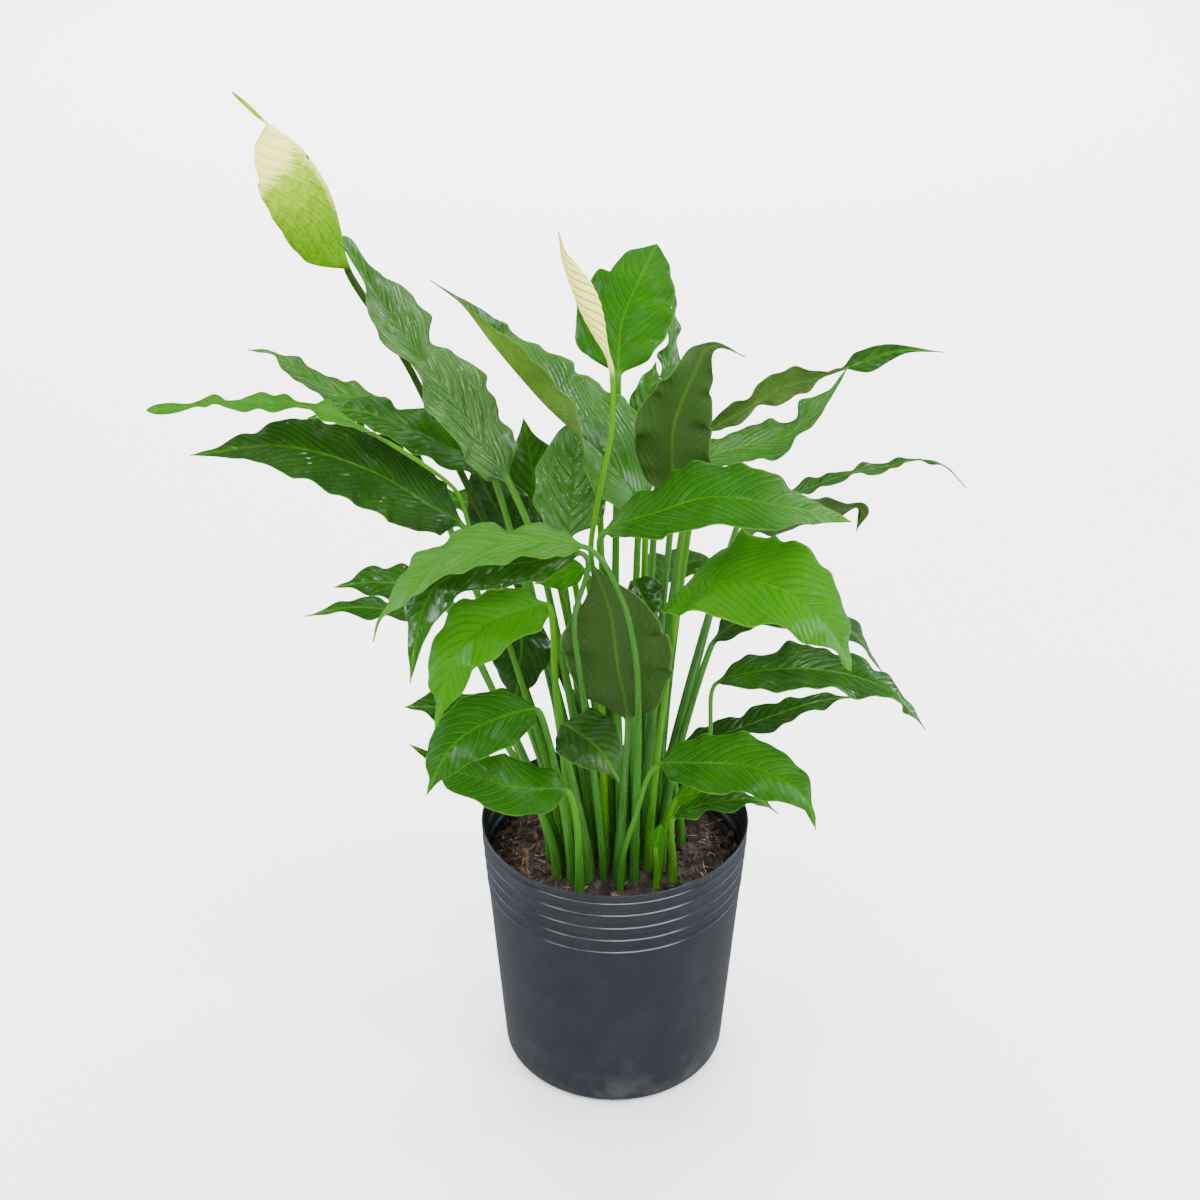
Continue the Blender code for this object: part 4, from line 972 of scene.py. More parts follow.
def spathe_finish(name):
    """The open spathe's material, from its green base to its cream tip and the stalk below."""
    material, t, shader = new_material(name)
    along = t.split(t.attribute("leaf_place"))[1]
    stalk = t.split(t.attribute("leaf_kind"))[1]
    row, out_mm, _ = t.split(t.attribute("leaf_row"))
    spot = t.spot()
    lines = t.place(veins, Row=t.attribute("leaf_row"), Line=0.05)
    blotches = t.noise(spot, 150.0, 5.0, 0.7)
    streaks = t.noise(t.gather(row * 4.5, out_mm * 0.10), 1.0, 4.0, 0.7)
    height = along + (blotches - 0.5) * 30.0 + (streaks - 0.5) * 44.0 + out_mm * 0.12
    green = t.blend(height.ramp(18.0, 50.0), SPATHE_BASE, YELLOW_GREEN)
    green = t.blend(height.ramp(44.0, 70.0), green, CREAM_GREEN)
    # Painted shade at the lower edge of each pleat.
    green = t.toned((row + 0.5).fraction().ramp(0.0, 0.55) * 0.6, green, PLEAT_SHADE)
    green = t.toned(t.noise(spot, 380.0, 3.0, 0.65).ramp(0.42, 0.60, 0.0, 0.75), green, MOTTLE_SHADE)
    body = t.blend(height.ramp(64.0, 80.0), green, CREAM)
    near_fold = out_mm.ramp(0.8, 3.0, 1.0, 0.0)
    body = t.blend(near_fold * along.ramp(24.0, 62.0) * 0.6, body, CREAM)
    tail = t.blend(along.ramp(104.0, 120.0), YELLOW_GREEN, TAIL_GREEN)
    body = t.toned(lines["Vein"], t.blend(along.ramp(88.0, 98.0), body, tail), VEIN_SHADE)
    brown = abs(along - BROWN_SPOT_AT).ramp(0.8, 1.9, 1.0, 0.0) * out_mm.ramp(0.9, 1.8, 1.0, 0.0)
    body = t.blend(brown * 0.85, body, SPOT_BROWN)
    relief = lines["Swell"] - lines["Fine"] * 0.20 + t.noise(spot, 420.0, 4.0, 0.6) * 0.9
    t.fill(shader, Base_Color=t.blend(stalk, body, PEDUNCLE), Roughness=blotches * 0.12 + 0.40,
           Normal=t.bump(relief, 0.0009), IOR=1.4, Specular_IOR_Level=0.02)
    return material


tall = grow("tall_flower_skin", {**PLAIN_LEAF, **TALL_FLOWER}, 0)
stand_in(tall, "tall_flower", spathe_finish("green_and_cream_spathe"))
print("Tall flower:", len(tall.data.polygons), "faces")

# %% [markdown]
# ## The spadix
# The spathe holds a spike of tiny florets. Its core is a turned spindle, and the florets sit on it in a
# spiral, each a golden angle from the last. Geometry Nodes puts one small bead on every point of that spiral.

# %% The form of the spadix
SPADIX_RADIUS = 4.0
SPADIX_STIPE_RADIUS = 1.3
SPADIX_START = 0.08
SPADIX_SPAN = 0.54
SPADIX_HEIGHTS = ((0.08, 3.0), (0.2, 13.5), (0.4, 16.0), (0.62, 14.0))
SPINDLE_RINGS = 40
SPINDLE_SIDES = 28
CORE_SHARE = 0.93

flower_line = MiddleLine({**PLAIN_LEAF, **TALL_FLOWER})


def spadix_radius(share):
    """The core's radius: thin at its foot, full in the middle and round at its tip."""
    swell = ease((SPADIX_START + SPADIX_SPAN * share - 0.14) / 0.12)
    past = np.maximum(share - 0.75, 0) / 0.26
    full = SPADIX_STIPE_RADIUS + (SPADIX_RADIUS * np.sqrt(1 - past**2) - SPADIX_STIPE_RADIUS) * swell
    return CORE_SHARE * full


def spadix_points(share, angle):
    """Points on the spadix, at each share of its length and each angle round it."""
    t = SPADIX_START + SPADIX_SPAN * share
    places, sides, normals = flower_line.frames(flower_line.knee + t * (flower_line.end - flower_line.knee))
    axis = places + np.interp(t, *zip(*SPADIX_HEIGHTS))[:, None] * normals
    away = np.sin(angle)[..., None] * normals[:, None] - np.cos(angle)[..., None] * sides[:, None]
    return (axis[:, None] + spadix_radius(share)[:, None, None] * away).reshape(-1, 3)


widest_core = spadix_radius(np.linspace(0, 1, SPINDLE_RINGS)).max()
print("The core's largest radius is", round(float(widest_core), 2), "mm")


# %% A tree that sets beads on points
def named(tree, name):
    """A number that the points of a mesh carry under this name."""
    node = tree.add("GeometryNodeInputNamedAttribute", data_type="FLOAT")
    return tree.fill(node, Name=name).outputs["Attribute"]


def end_tree(tree, copies, finish, out):
    """The end of a scattering tree: real mesh from its copies, with their material."""
    real = tree.fill(tree.add("GeometryNodeRealizeInstances"), Geometry=copies.outputs["Instances"])
    paint = tree.fill(tree.add("GeometryNodeSetMaterial"), Geometry=real.outputs[0], Material=finish)
    tree.fill(out, Mesh=paint.outputs[0])


def bead_tree(name):
    """A geometry tree that puts a smooth bead on each point."""
    group, tree, given, out = new_group(
        "GeometryNodeTree", name, {"Points": "Geometry", "Bead radius": "Float", "Finish": "Material"},
        {"Mesh": "Geometry"})
    bead = tree.fill(tree.add("GeometryNodeMeshIcoSphere"), Radius=given["Bead radius"], Subdivisions=2)
    smooth = tree.in_order(tree.add("GeometryNodeSetShadeSmooth"), bead.outputs["Mesh"])
    copies = tree.fill(tree.add("GeometryNodeInstanceOnPoints"), Points=given["Points"],
                       Instance=smooth.outputs[0], Scale=named(tree, "size"))
    end_tree(tree, copies, given["Finish"], out)
    return group


def made_plain(obj):
    """What an object's modifiers make, as a plain mesh."""
    graph = bpy.context.evaluated_depsgraph_get()
    mesh = bpy.data.meshes.new_from_object(obj.evaluated_get(graph))
    obj.modifiers.clear()
    return mesh


def run_tree(obj, group, **values):
    """Run a geometry tree on an object and keep what it makes as a plain mesh."""
    modifier = obj.modifiers.new("tree", "NODES")
    modifier.node_group = group
    sockets = {item.name: item.identifier for item in group.interface.items_tree if item.in_out == "INPUT"}
    for name, value in values.items():
        modifier[sockets[name.replace("_", " ")]] = value
    obj.update_tag()
    bpy.context.view_layer.update()
    return made_plain(obj)


beads = bead_tree("florets on a spiral")
print("Bead tree:", len(beads.nodes), "nodes")

# %% Turn the core and set its florets
GOLDEN_ANGLE = math.pi * (3 - math.sqrt(5))
FLORETS = 300
FLORET_RADIUS = 0.00062

spadix_paint, t, shader = new_material("floret_cream")
shades = t.blend(t.noise(t.spot(), 500.0), colour(0.30, 0.34, 0.10), colour(0.62, 0.58, 0.26))
t.fill(shader, Base_Color=shades, Roughness=0.65)

round_core = math.tau * np.arange(SPINDLE_SIDES)[None, :] / SPINDLE_SIDES
core = closed_skin("spadix_core", spadix_points(np.linspace(0, 1, SPINDLE_RINGS), round_core),
                   ring_faces(SPINDLE_RINGS, SPINDLE_SIDES))

order = np.arange(FLORETS)
share = 0.26 + 0.735 * (order + 0.5) / FLORETS
spiral = bpy.data.meshes.new("floret_spiral")
spiral.from_pydata((spadix_points(share, GOLDEN_ANGLE * order[:, None]) * MM).tolist(), [], [])
sizes = spiral.attributes.new("size", "FLOAT", "POINT")
sizes.data.foreach_set("value", np.clip(spadix_radius(share) / SPADIX_RADIUS, 0.5, 1).astype(np.float32))
florets = put_in_scene("spadix_florets", spiral)
florets.data = run_tree(florets, beads, Bead_radius=FLORET_RADIUS, Finish=spadix_paint)
for piece in (core, florets):
    stand_in(piece, "tall_flower_spadix", spadix_paint)
print("Florets:", FLORETS, "with", len(florets.data.polygons), "faces")

# %% [markdown]
# ## The furled flower
# The second spathe is still rolled up. Its section is a spiral of a little more than one turn, so a lip runs
# up the bud and winds part of the way round it. Its veins climb round it as low pleats, and it thins into its
# yellow-green stalk without a step.

# %% The finish of the bud
BUD_CREAM = colour(0.78, 0.75, 0.150)
BUD_SHADE = colour(0.55, 0.47, 0.13)
BUD_LIP = colour(0.42, 0.29, 0.08)
BUD_STALK = colour(0.070, 0.280, 0.0006)
BUD_STREAK = colour(0.040, 0.125, 0.002)


def bud_finish(name):
    """The furled spathe's material: cream, painted shade on each pleat, a darker lip, on a yellow-green
    stalk.
    """
    material, t, shader = new_material(name)
    around, along, row = t.split(t.attribute("leaf_place"))
    spot = t.spot()
    pleat = row.fraction()
    line = abs(pleat - 0.5).ramp(0.40, 0.5)
    fine = abs((row * FINE_VEINS).fraction() - 0.5)
    cloud = t.noise(spot, 160.0, 4.0, 0.6)
    body = t.blend(cloud.ramp(0.35, 0.75, 0.0, 0.4), BUD_CREAM, BUD_SHADE)
    # Painted shade on the lower side of each pleat.
    body = t.blend(pleat.ramp(0.5, 1.0, 0.0, 0.35), body, BUD_SHADE)
    body = t.blend(line * 0.60, body, BUD_LIP)
    lip = around.ramp(0.0, 0.025, 1.0, 0.0).at_least(around.ramp(0.965, 0.982))
    body = t.blend(lip * 0.7, body, BUD_LIP)
    streaks = t.noise(t.gather(around * 9.0, along * 0.012), 2.5, 3.0)
    stem = t.blend(streaks.ramp(0.4, 0.75), BUD_STALK, BUD_STREAK)
    relief = fine * 0.25 - line + t.noise(spot, 520.0, 3.0, 0.6) * 0.5
    t.fill(shader, Base_Color=t.blend(along.ramp(-5.0, 5.0, 1.0, 0.0), body, stem),
           Roughness=cloud * 0.14 + 0.40, Normal=t.bump(relief, 0.0010), Specular_IOR_Level=0.10)
    return material


furled_cream = bud_finish("furled_cream")
print("Bud finish:", len(furled_cream.node_tree.nodes), "nodes")

# %% Roll the bud
BUD_RADIUS = 5.3
BUD_TIP_RADIUS = 0.4
BUD_RISE = 2.0
BUD_FALL = 2.0
BUD_EDGE_STEP = 0.24
BUD_TURN = 2.2
BUD_SIDES = 56
BUD_PLEAT = 5.6
BUD_CLIMB = 5.6
BUD_PUFF = 0.08
BUD_ROWS_BEFORE = 20
BUD_RINGS = (90, 110)


def roll_bud(name, flower):
    """One closed skin for the stalk and the rolled spathe, whose edge shows as a step."""
    middle = MiddleLine(flower)
    stem_run = np.linspace(0, middle.knee, BUD_RINGS[0])
    run = np.concatenate([stem_run, np.linspace(middle.knee, middle.end, BUD_RINGS[1])[1:]])
    t = np.clip(middle.share(run), 0, 1)
    places, sides, normals = middle.frames(run)
    grown = np.clip(run / middle.knee, 0, 1)
    stem = flower["top"] + (flower["base"] - flower["top"]) * (1 - grown) ** 2.2
    widest = BUD_RISE / (BUD_RISE + BUD_FALL)
    bud = BUD_TIP_RADIUS + BUD_RADIUS * (t / widest) ** BUD_RISE * ((1 - t) / (1 - widest)) ** BUD_FALL
    radius = (bud**3 + (stem * (1 - ease(t / 0.3))) ** 3) ** (1 / 3)
    share = ease(t / 0.15)[:, None]
    k = np.arange(BUD_SIDES)
    angle = 2 * math.pi * k[None, :] / BUD_SIDES - BUD_TURN * t[:, None]
    row = ((run - middle.knee)[:, None] + BUD_CLIMB * angle) / BUD_PLEAT + BUD_ROWS_BEFORE
    rolled = 1 + share * BUD_EDGE_STEP * (k[None, :] / (BUD_SIDES - 1) - 0.5)
    rolled = rolled + share * BUD_PUFF * (np.abs(np.sin(math.pi * row)) - 0.6)
    away = -np.cos(angle)[..., None] * sides[:, None] + np.sin(angle)[..., None] * normals[:, None]
    points = places[:, None] + (radius[:, None] * rolled)[..., None] * away
    obj = closed_skin(name, points.reshape(-1, 3), ring_faces(len(run), BUD_SIDES), SHARP_DEGREES)
    vectors(obj.data, "leaf_place", (k / BUD_SIDES)[None, :], (run - middle.knee)[:, None], row)
    return obj


bud = roll_bud("furled_flower_skin", {**PLAIN_LEAF, **FURLED_FLOWER})
stand_in(bud, "furled_flower", furled_cream)
print("Bud:", len(bud.data.polygons), "faces")

# %% [markdown]
# ## The pot
# A nursery pot is blown from black plastic: thin, slightly soft, with ribs pressed in under the rim. Its
# profile is turned round the axis by a Screw modifier, and the drain holes are cut out of its floor.

# %% The pot's profile
POT_HEIGHT = 172.0
POT_TOP_RADIUS = 82.5
POT_BASE_RADIUS = 70.0
POT_WALL = 1.4
POT_FLOOR = 2.4
POT_EDGE_ROUND = 6.0
GROOVES = (157.0, 147.0, 137.5, 128.0)
RIM_LINE = 166.5
RIM_ROUND = ((0.1, 171.6), (0.4, 171.9), (0.7, 172.0), (1.0, 171.9), (1.3, 171.6))


def wall_radius(z):
    """The pot's outer radius at a height, without its ribs."""
    return POT_BASE_RADIUS + (POT_TOP_RADIUS - POT_BASE_RADIUS) * z / POT_HEIGHT


def groove_dent(z):
    """How far the pressed ribs stand in, and the soft swell above each."""
    dent = sum(1.15 * np.exp(-((z - g) / 0.65) ** 2) - 0.45 * np.exp(-((z - g - 2.4) / 1.3) ** 2)
               for g in GROOVES)
    return dent + 0.45 * np.exp(-((z - RIM_LINE) / 0.55) ** 2)


def pot_profile():
    """Radius and height of points from the middle of the base, up the outside and down the inside."""
    points = [(0.0, 0.0)]
    for k in range(9):
        a = math.radians(90 * k / 8)
        points.append((wall_radius(POT_EDGE_ROUND) - POT_EDGE_ROUND * (1 - math.sin(a)),
                       POT_EDGE_ROUND * (1 - math.cos(a))))
    heights = np.concatenate([np.linspace(8, 120, 30), np.arange(120.5, 171.2, 0.4)])
    points += [(wall_radius(z) - groove_dent(z), z) for z in heights]
    points += [(POT_TOP_RADIUS - in_from, z) for in_from, z in RIM_ROUND]
    inner = np.concatenate([np.arange(171.0, 120.5, -0.5), np.linspace(120, 8, 20)])
    points += [(wall_radius(z) - POT_WALL - 0.8 * groove_dent(z), z) for z in inner]
    return points + [(wall_radius(6) - POT_WALL - 4, POT_FLOOR), (0.0, POT_FLOOR)]


profile = pot_profile()
print("The pot's profile has", len(profile), "points")

# %% Turn and drill the pot
POT_SIDES = 192
DRAIN_HOLES = 6
DRAIN_CIRCLE = 0.048
DRAIN_RADIUS = 0.005
DRAIN_REACH = (-0.004, 0.007)
MOUTH_WAVE = 0.004
MOUTH_LOBES = 3
MOUTH_TURN = 0.7
POT_MOUTH_SQUEEZE = 0.04
SEAM_WITHIN = 0.00001


def turned_pot():
    """The profile turned round the axis, as one closed mesh."""
    mesh = bpy.data.meshes.new("pot_profile")
    edges = [(k, k + 1) for k in range(len(profile) - 1)]
    mesh.from_pydata([(MM * r, 0, MM * z) for r, z in profile], edges, [])
    obj = put_in_scene("pot_profile", mesh)
    screw = obj.modifiers.new("turn", "SCREW")
    screw.steps = screw.render_steps = POT_SIDES
    screw.use_merge_vertices = True
    screw.merge_threshold = SEAM_WITHIN
    screw.use_normal_calculate = True
    turned = made_plain(obj)
    bpy.data.objects.remove(obj)
    return turned


def drilled(mesh, name, places, radius, low, high):
    """A copy of the mesh with a round hole cut at each place."""
    holes = bmesh.new()
    for x, y in places:
        made = bmesh.ops.create_cone(holes, cap_ends=True, segments=32, radius1=radius, radius2=radius,
                                     depth=high - low)
        bmesh.ops.translate(holes, verts=made["verts"], vec=(x, y, (low + high) / 2))
    cutter = put_in_scene("drain_cutter", bpy.data.meshes.new("drain_cutter"))
    holes.to_mesh(cutter.data)
    holes.free()
    body = put_in_scene(name, mesh)
    cut = body.modifiers.new("holes", "BOOLEAN")
    cut.operation = "DIFFERENCE"
    cut.solver = "EXACT"
    cut.object = cutter
    body.data = made_plain(body)
    bpy.data.objects.remove(cutter)
    return body


drain_angles = [math.tau * k / DRAIN_HOLES for k in range(DRAIN_HOLES)]
drains = [(DRAIN_CIRCLE * math.cos(a), DRAIN_CIRCLE * math.sin(a)) for a in drain_angles]
pot = drilled(turned_pot(), "pot_skin", drains, DRAIN_RADIUS, *DRAIN_REACH)
for vertex in pot.data.vertices:
    x, y, z = vertex.co
    up = z / (MM * POT_HEIGHT)
    soft = 1 + MOUTH_WAVE * up**2 * math.sin(MOUTH_LOBES * math.atan2(y, x) + MOUTH_TURN)
    vertex.co.x = x * soft
    vertex.co.y = y * soft * (1 - POT_MOUTH_SQUEEZE * up)
pot.data.shade_smooth()
pot.data.set_sharp_from_angle(angle=math.radians(SHARP_DEGREES))
print("Pot:", len(pot.data.polygons), "faces")

# %% [markdown]
# ## Black plastic
# Blown plastic has a satin surface with a faint bluish sheen. Fine scratches lie most of all near the rim,
# and the plastic is a little paler towards it. The lips of the ribs carry a painted highlight in front, and
# the grooves carry painted shade at the sides and behind. Water leaves a little dust, thicker near the base.
# The
# dust is a group of its own, placed twice: once for the foot of the pot and once, thinly, for all of it.

# %% A node group for dust
dust, t, given, out = new_group(
    "ShaderNodeTree", "dust by height", dict.fromkeys(("Low", "High", "Amount"), "Float"), {"Dust": "Float"})
spot = t.spot()
cloud = t.noise(spot, 45.0, 6.0, 0.65).ramp(0.42, 0.72)
specks = t.noise(spot, 900.0, 2.0, 0.6).ramp(0.58, 0.72)
near_low = t.split(spot)[2].ramp(given["Low"], given["High"], 1.0, 0.0)
t.fill(out, Dust=(specks * 0.5 + cloud) * near_low * given["Amount"])
print("Dust group:", len(dust.nodes), "nodes")

# %% The finish of the pot
PLASTIC_DARK = colour(0.0074, 0.0094, 0.0128)
PLASTIC_PALE = colour(0.0098, 0.0118, 0.0156)
SCRATCHES_AND_PALER_RIM = colour(0.040, 0.040, 0.043)
GROOVE_SHADE_COLOUR = colour(0.0030, 0.0034, 0.0045)
LIP_HIGHLIGHT = colour(0.160, 0.162, 0.168)
DUST_GREY = colour(0.085, 0.083, 0.085)
PALER_SCRATCHED_BAND = (122.0, 170.0)
FRONT_OF_POT = (-0.062, -0.072)

plastic, t, shader = new_material("black_pot_plastic")
spot = t.spot()
y, z = t.split(spot)[1:]
z_mm = z * 1000.0
dirt = t.place(dust, Low=0.0, High=0.045, Amount=0.30)["Dust"]
dirt = dirt + t.place(dust, Low=0.1, High=0.5, Amount=0.05)["Dust"]
smear = t.noise(t.scaled(spot, (1.0, 1.0, 7.0)), 28.0, 5.0, 0.6)
body = t.blend(t.noise(t.scaled(spot, (9.0, 9.0, 1.2)), 6.0, 4.0), PLASTIC_DARK, PLASTIC_PALE)
scratches = t.noise(t.scaled(spot, (14.0, 14.0, 420.0)), 2.0, 4.0, 0.7).ramp(0.50, 0.72)
# Fine scratches, and an even tone that makes the plastic a little paler towards the rim.
body = t.blend(z_mm.ramp(*PALER_SCRATCHED_BAND) * (scratches * 0.45 + 0.06), body, SCRATCHES_AND_PALER_RIM)
lip = groove_shade = 0.0
# For each rib: a mask on its lower lip for a painted highlight, and one in its groove for painted shade.
for groove in (*GROOVES, RIM_LINE):
    lip = abs(z_mm - (groove - 0.55)).ramp(0.12, 0.42, 1.0, 0.0).at_least(lip)
    groove_shade = abs(z_mm - (groove + 0.2)).ramp(0.6, 1.5, 1.0, 0.0).at_least(groove_shade)
# Breaks in the painted lip highlight.
highlight_breakup = t.noise(t.scaled(spot, (30.0, 30.0, 3.0)), 1.0, 4.0, 0.6).ramp(0.34, 0.60, 0.25, 1.0)
front = y.ramp(*FRONT_OF_POT)
# The painted groove shade fades in front, where the painted lip highlight lies.
groove_shade = groove_shade * (front * -0.8 + 0.9)
# Painted shade in the grooves, then painted highlights on the rib lips in front.
body = t.blend(lip * highlight_breakup * front * 0.86, t.blend(groove_shade, body, GROOVE_SHADE_COLOUR), LIP_HIGHLIGHT)
skin = t.noise(spot, 700.0) * 0.18 + smear * 0.8
t.fill(shader, Base_Color=t.blend(dirt, body, DUST_GREY),
       Roughness=groove_shade * 0.3 + smear * 0.14 + dirt * 0.4 + 0.30,
       Specular_Tint=colour(0.78, 0.90, 1.0), Normal=t.bump(skin, 0.0006, 0.30))
stand_in(pot, "pot", plastic)
print("Pot finish:", len(plastic.node_tree.nodes), "nodes")

# %% [markdown]
# ## The soil
# The plug of soil is a mound of crumbs that sinks a little at the pot's wall. A ring grid gives its top a
# rough shape by noise, and Geometry Nodes scatters crumbs, bark chips and fibres over it. A share painted on
# the grid keeps them off the stalks.

# %% Heap the soil
SOIL_FOOT = ((0.001, 3.0), (60.0, 3.0), (66.5, 8.0))
SOIL_SHOULDER = 140.0
SOIL_RIM = 148.0
SOIL_RINGS = 46
SOIL_SIDES = 150
EDGE_SINK = 7.0
SOIL_WAVES = ((1.6, 0.055), (1.0, 0.16), (0.5, 0.5))


def soil_edge(z):
    """How far the soil may reach at a height, just clear of the wall."""
    return wall_radius(z) - POT_WALL - 0.5


def soil_bump(x, y):
    """The mound's waves: each has a height in millimetres and a count to the millimetre."""
    return sum(height * noise.noise(Vector((x, y, 0)) * count) for height, count in SOIL_WAVES)


def soil_points():
    """Rings of points from the plug's foot, up its side and over its mound to the middle."""
    edge = soil_edge(SOIL_RIM)
    rings = [*SOIL_FOOT, (soil_edge(SOIL_SHOULDER), SOIL_SHOULDER)]
    rings += [(edge * (1 - k / SOIL_RINGS), None) for k in range(SOIL_RINGS)]
    places = []
    for r, height in rings:
        for k in range(SOIL_SIDES):
            angle = math.tau * k / SOIL_SIDES
            x, y = r * math.cos(angle), r * math.sin(angle)
            z = height
            if height is None:
                share = r / edge
                z = SOIL_TOP - 1.5 + 3.0 * (1 - share**2) + soil_bump(x, y) * min(1, 3 * (1 - share) + 0.4)
                z -= EDGE_SINK * float(ease((share - 0.72) / 0.28))
            places.append((x, y * (1 - POT_MOUTH_SQUEEZE * z / POT_HEIGHT), z))
    return places


heap = soil_points()
soil = closed_skin("soil_heap", heap, ring_faces(len(heap) // SOIL_SIDES, SOIL_SIDES))
print("Soil:", len(soil.data.polygons), "faces")

# %% Keep the crumbs off the stalks
CLEAR_OF_STALK = 4.5
CLEAR_OF_WALL = 1.0
CLEAR_FADE = 3.0

roots = np.array([plant["root"] for plant in (*LEAVES.values(), TALL_FLOWER, FURLED_FLOWER)], float)
flat = np.array(heap)
gap = np.sqrt(((flat[:, None, :2] - roots[None]) ** 2).sum(-1)).min(1)
edge_gap = soil_edge(SOIL_RIM) - np.hypot(flat[:, 0], flat[:, 1])
on_top = np.arange(len(flat)) >= len(flat) - SOIL_RINGS * SOIL_SIDES
clear = np.clip((gap - CLEAR_OF_STALK) / CLEAR_FADE, 0, 1)
free = np.where(on_top, clear * np.clip((edge_gap - CLEAR_OF_WALL) / CLEAR_FADE, 0, 1), 0)
MASKS = {"free": free, "free_left": free * (0.2 + 0.8 * ease((-flat[:, 0] - 5) / 35))}
for name, shares in MASKS.items():
    mask = soil.data.attributes.new(name, "FLOAT", "POINT")
    mask.data.foreach_set("value", shares.astype(np.float32))
print("Crumbs may lie on", int((free > 0).sum()), "of the heap's", len(free), "points")

# %% [markdown]
# ## Crumbs, bark and fibres
# One geometry tree scatters any small shape: it picks points by the painted share, turns and sizes each copy
# at random from a fixed seed, and makes the copies real. The shapes themselves are a few dozen faces each.

# %% The finishes of the soil
def earth_finish(name, dark, light, scale, rough=0.9):
    """A dull grainy material that clouds between two colours."""
    material, t, shader = new_material(name)
    spot = t.spot()
    grain = t.noise(spot, 1400.0, 3.0, 0.7)
    base = t.blend(t.noise(spot, scale, 3.0).ramp(0.35, 0.65), dark, light)
    t.fill(shader, Base_Color=t.blend(grain * 0.5, base, dark), Roughness=rough,
           Normal=t.bump(grain, 0.0005, 0.8))
    return material


peat = earth_finish("damp_peat", colour(0.0165, 0.0120, 0.0094), colour(0.0760, 0.0530, 0.0410), 130.0)
bark = earth_finish("red_bark", colour(0.050, 0.024, 0.015), colour(0.250, 0.130, 0.075), 90.0, 0.8)
fibre = earth_finish("pale_fibre", colour(0.110, 0.062, 0.038), colour(0.480, 0.340, 0.220), 60.0, 0.8)
print("Soil finishes:", peat.name, bark.name, fibre.name)


# %% A tree that scatters small shapes
def scatter_tree(name):
    """A geometry tree that scatters turned and sized copies of a shape over the ground."""
    group, tree, given, out = new_group(
        "GeometryNodeTree", name,
        {"Ground": "Geometry", "Shape": "Object", "Mask": "String", "Density": "Float", "Seed": "Int",
         "Smallest": "Float", "Largest": "Float", "Lean": "Float", "Finish": "Material"},
        {"Mesh": "Geometry"})
    density = tree.maths("MULTIPLY", given["Density"], named(tree, given["Mask"]))
    points = tree.fill(tree.add("GeometryNodeDistributePointsOnFaces"), Mesh=given["Ground"], Density=density,
                       Seed=given["Seed"])
    shape = tree.fill(tree.add("GeometryNodeObjectInfo"), Object=given["Shape"])
    size = tree.fill(tree.add("FunctionNodeRandomValue", data_type="FLOAT"), Seed=given["Seed"])
    tree.feed(size.inputs[2], given["Smallest"])
    tree.feed(size.inputs[3], given["Largest"])
    other_way = tree.maths("MULTIPLY", given["Lean"], -1.0)
    turn = tree.in_order(
        tree.add("FunctionNodeRandomValue", data_type="FLOAT_VECTOR"), tree.gather(other_way, other_way),
        tree.gather(given["Lean"], given["Lean"], math.tau))
    copies = tree.fill(tree.add("GeometryNodeInstanceOnPoints"), Points=points.outputs["Points"],
                       Instance=shape.outputs["Geometry"], Rotation=turn.outputs[0], Scale=size.outputs[1])
    end_tree(tree, copies, given["Finish"], out)
    return group


scatter = scatter_tree("scatter on the soil")
print("Scattering tree:", len(scatter.nodes), "nodes")

# %% Scatter crumbs, bark and fibres
FIBRE_RINGS = 9
FIBRE_SIDES = 6


def lump(name, size, seed, rough, subdivisions):
    """A small rough stone-like shape about its own middle."""
    shape = bmesh.new()
    bmesh.ops.create_icosphere(shape, subdivisions=subdivisions, radius=1.0)
    for vertex in shape.verts:
        push = 1 + rough * noise.noise(vertex.co * 1.7 + Vector((seed, 0, 0)))
        vertex.co = Vector((vertex.co.x * size[0], vertex.co.y * size[1], vertex.co.z * size[2])) * push * MM
    mesh = bpy.data.meshes.new(name)
    shape.to_mesh(mesh)
    shape.free()
    return put_in_scene(name, mesh)


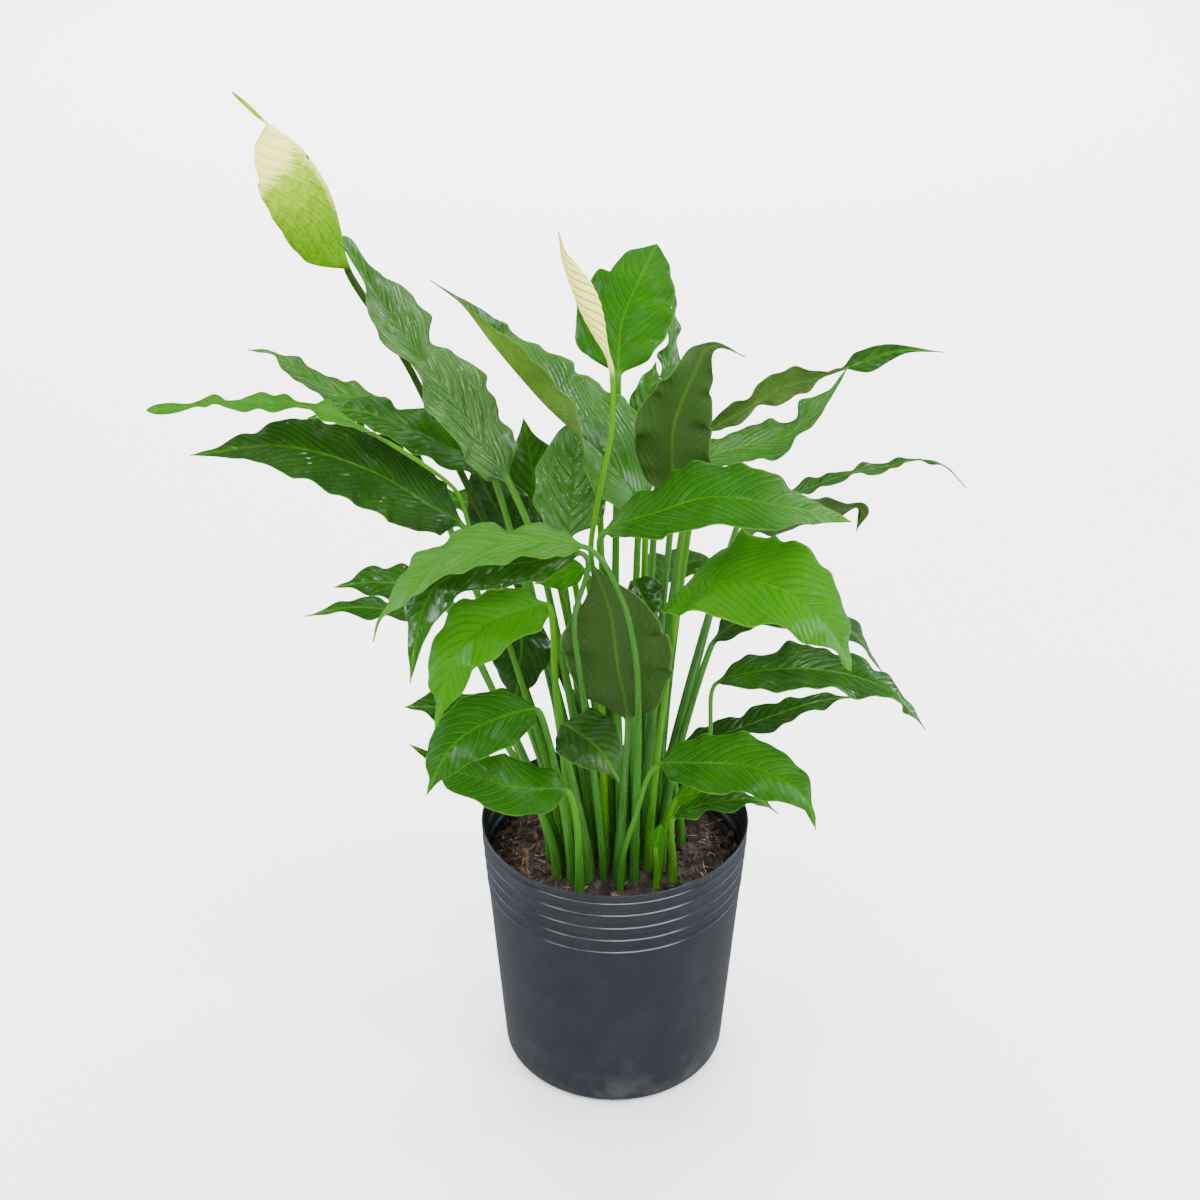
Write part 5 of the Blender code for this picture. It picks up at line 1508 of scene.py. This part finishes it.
def splinter(name, length, radius, seed):
    """A bent six-sided fibre that tapers to both ends."""
    rings = []
    for s in np.linspace(0, 1, FIBRE_RINGS):
        middle = Vector(((s - 0.5) * length, 1.6 * math.sin(3 * s + seed), 1.0 * math.sin(5 * s + seed)))
        r = radius * (0.35 + 0.65 * math.sin(math.pi * s))
        angles = [math.tau * k / FIBRE_SIDES for k in range(FIBRE_SIDES)]
        rings += [middle + Vector((0, r * math.cos(a), r * math.sin(a))) for a in angles]
    return closed_skin(name, [list(p) for p in rings], ring_faces(FIBRE_RINGS, FIBRE_SIDES))


def keep_inside(mesh):
    """Draw points that would pierce the pot's wall back inside it."""
    for vertex in mesh.vertices:
        x, y, z = vertex.co / MM
        far = math.hypot(x, y / (1 - POT_MOUTH_SQUEEZE * z / POT_HEIGHT))
        limit = soil_edge(z) - 0.5
        if far > limit:
            vertex.co.x *= limit / far
            vertex.co.y *= limit / far


# Each row: name, shape, mask, copies on a square metre, seed, smallest and largest size, lean, finish.
SPREADS = (
    ("soil_crumbs", lump("crumb", (1.5, 1.3, 1.1), 3.1, 0.7, 1), "free", 190000, 4, 0.45, 1.5, 3.0, peat),
    ("soil_clods", lump("clod", (3.2, 2.7, 1.9), 7.7, 0.9, 2), "free", 16000, 9, 0.5, 1.25, 0.9, peat),
    ("bark_chips", lump("chip", (4.8, 2.0, 0.9), 5.3, 1.0, 2), "free_left", 17000, 17, 0.35, 1.1, 1.2, bark),
    ("soil_fibres", splinter("fibre", 14.0, 0.42, 0.4), "free", 15000, 29, 0.35, 1.1, 0.7, fibre),
)
for name, shape, mask, density, seed, small, large, lean, finish in SPREADS:
    mesh = run_tree(soil, scatter, Shape=shape, Mask=mask, Density=float(density), Seed=seed, Smallest=small,
                    Largest=large, Lean=lean, Finish=finish)
    bpy.data.objects.remove(shape)
    keep_inside(mesh)
    stand_in(put_in_scene(name, mesh), "soil", finish)
    print(name, len(mesh.polygons), "faces")
stand_in(soil, "soil", peat)

# %% [markdown]
# ## Sizes
# The finished pieces must stay inside the solids' box.
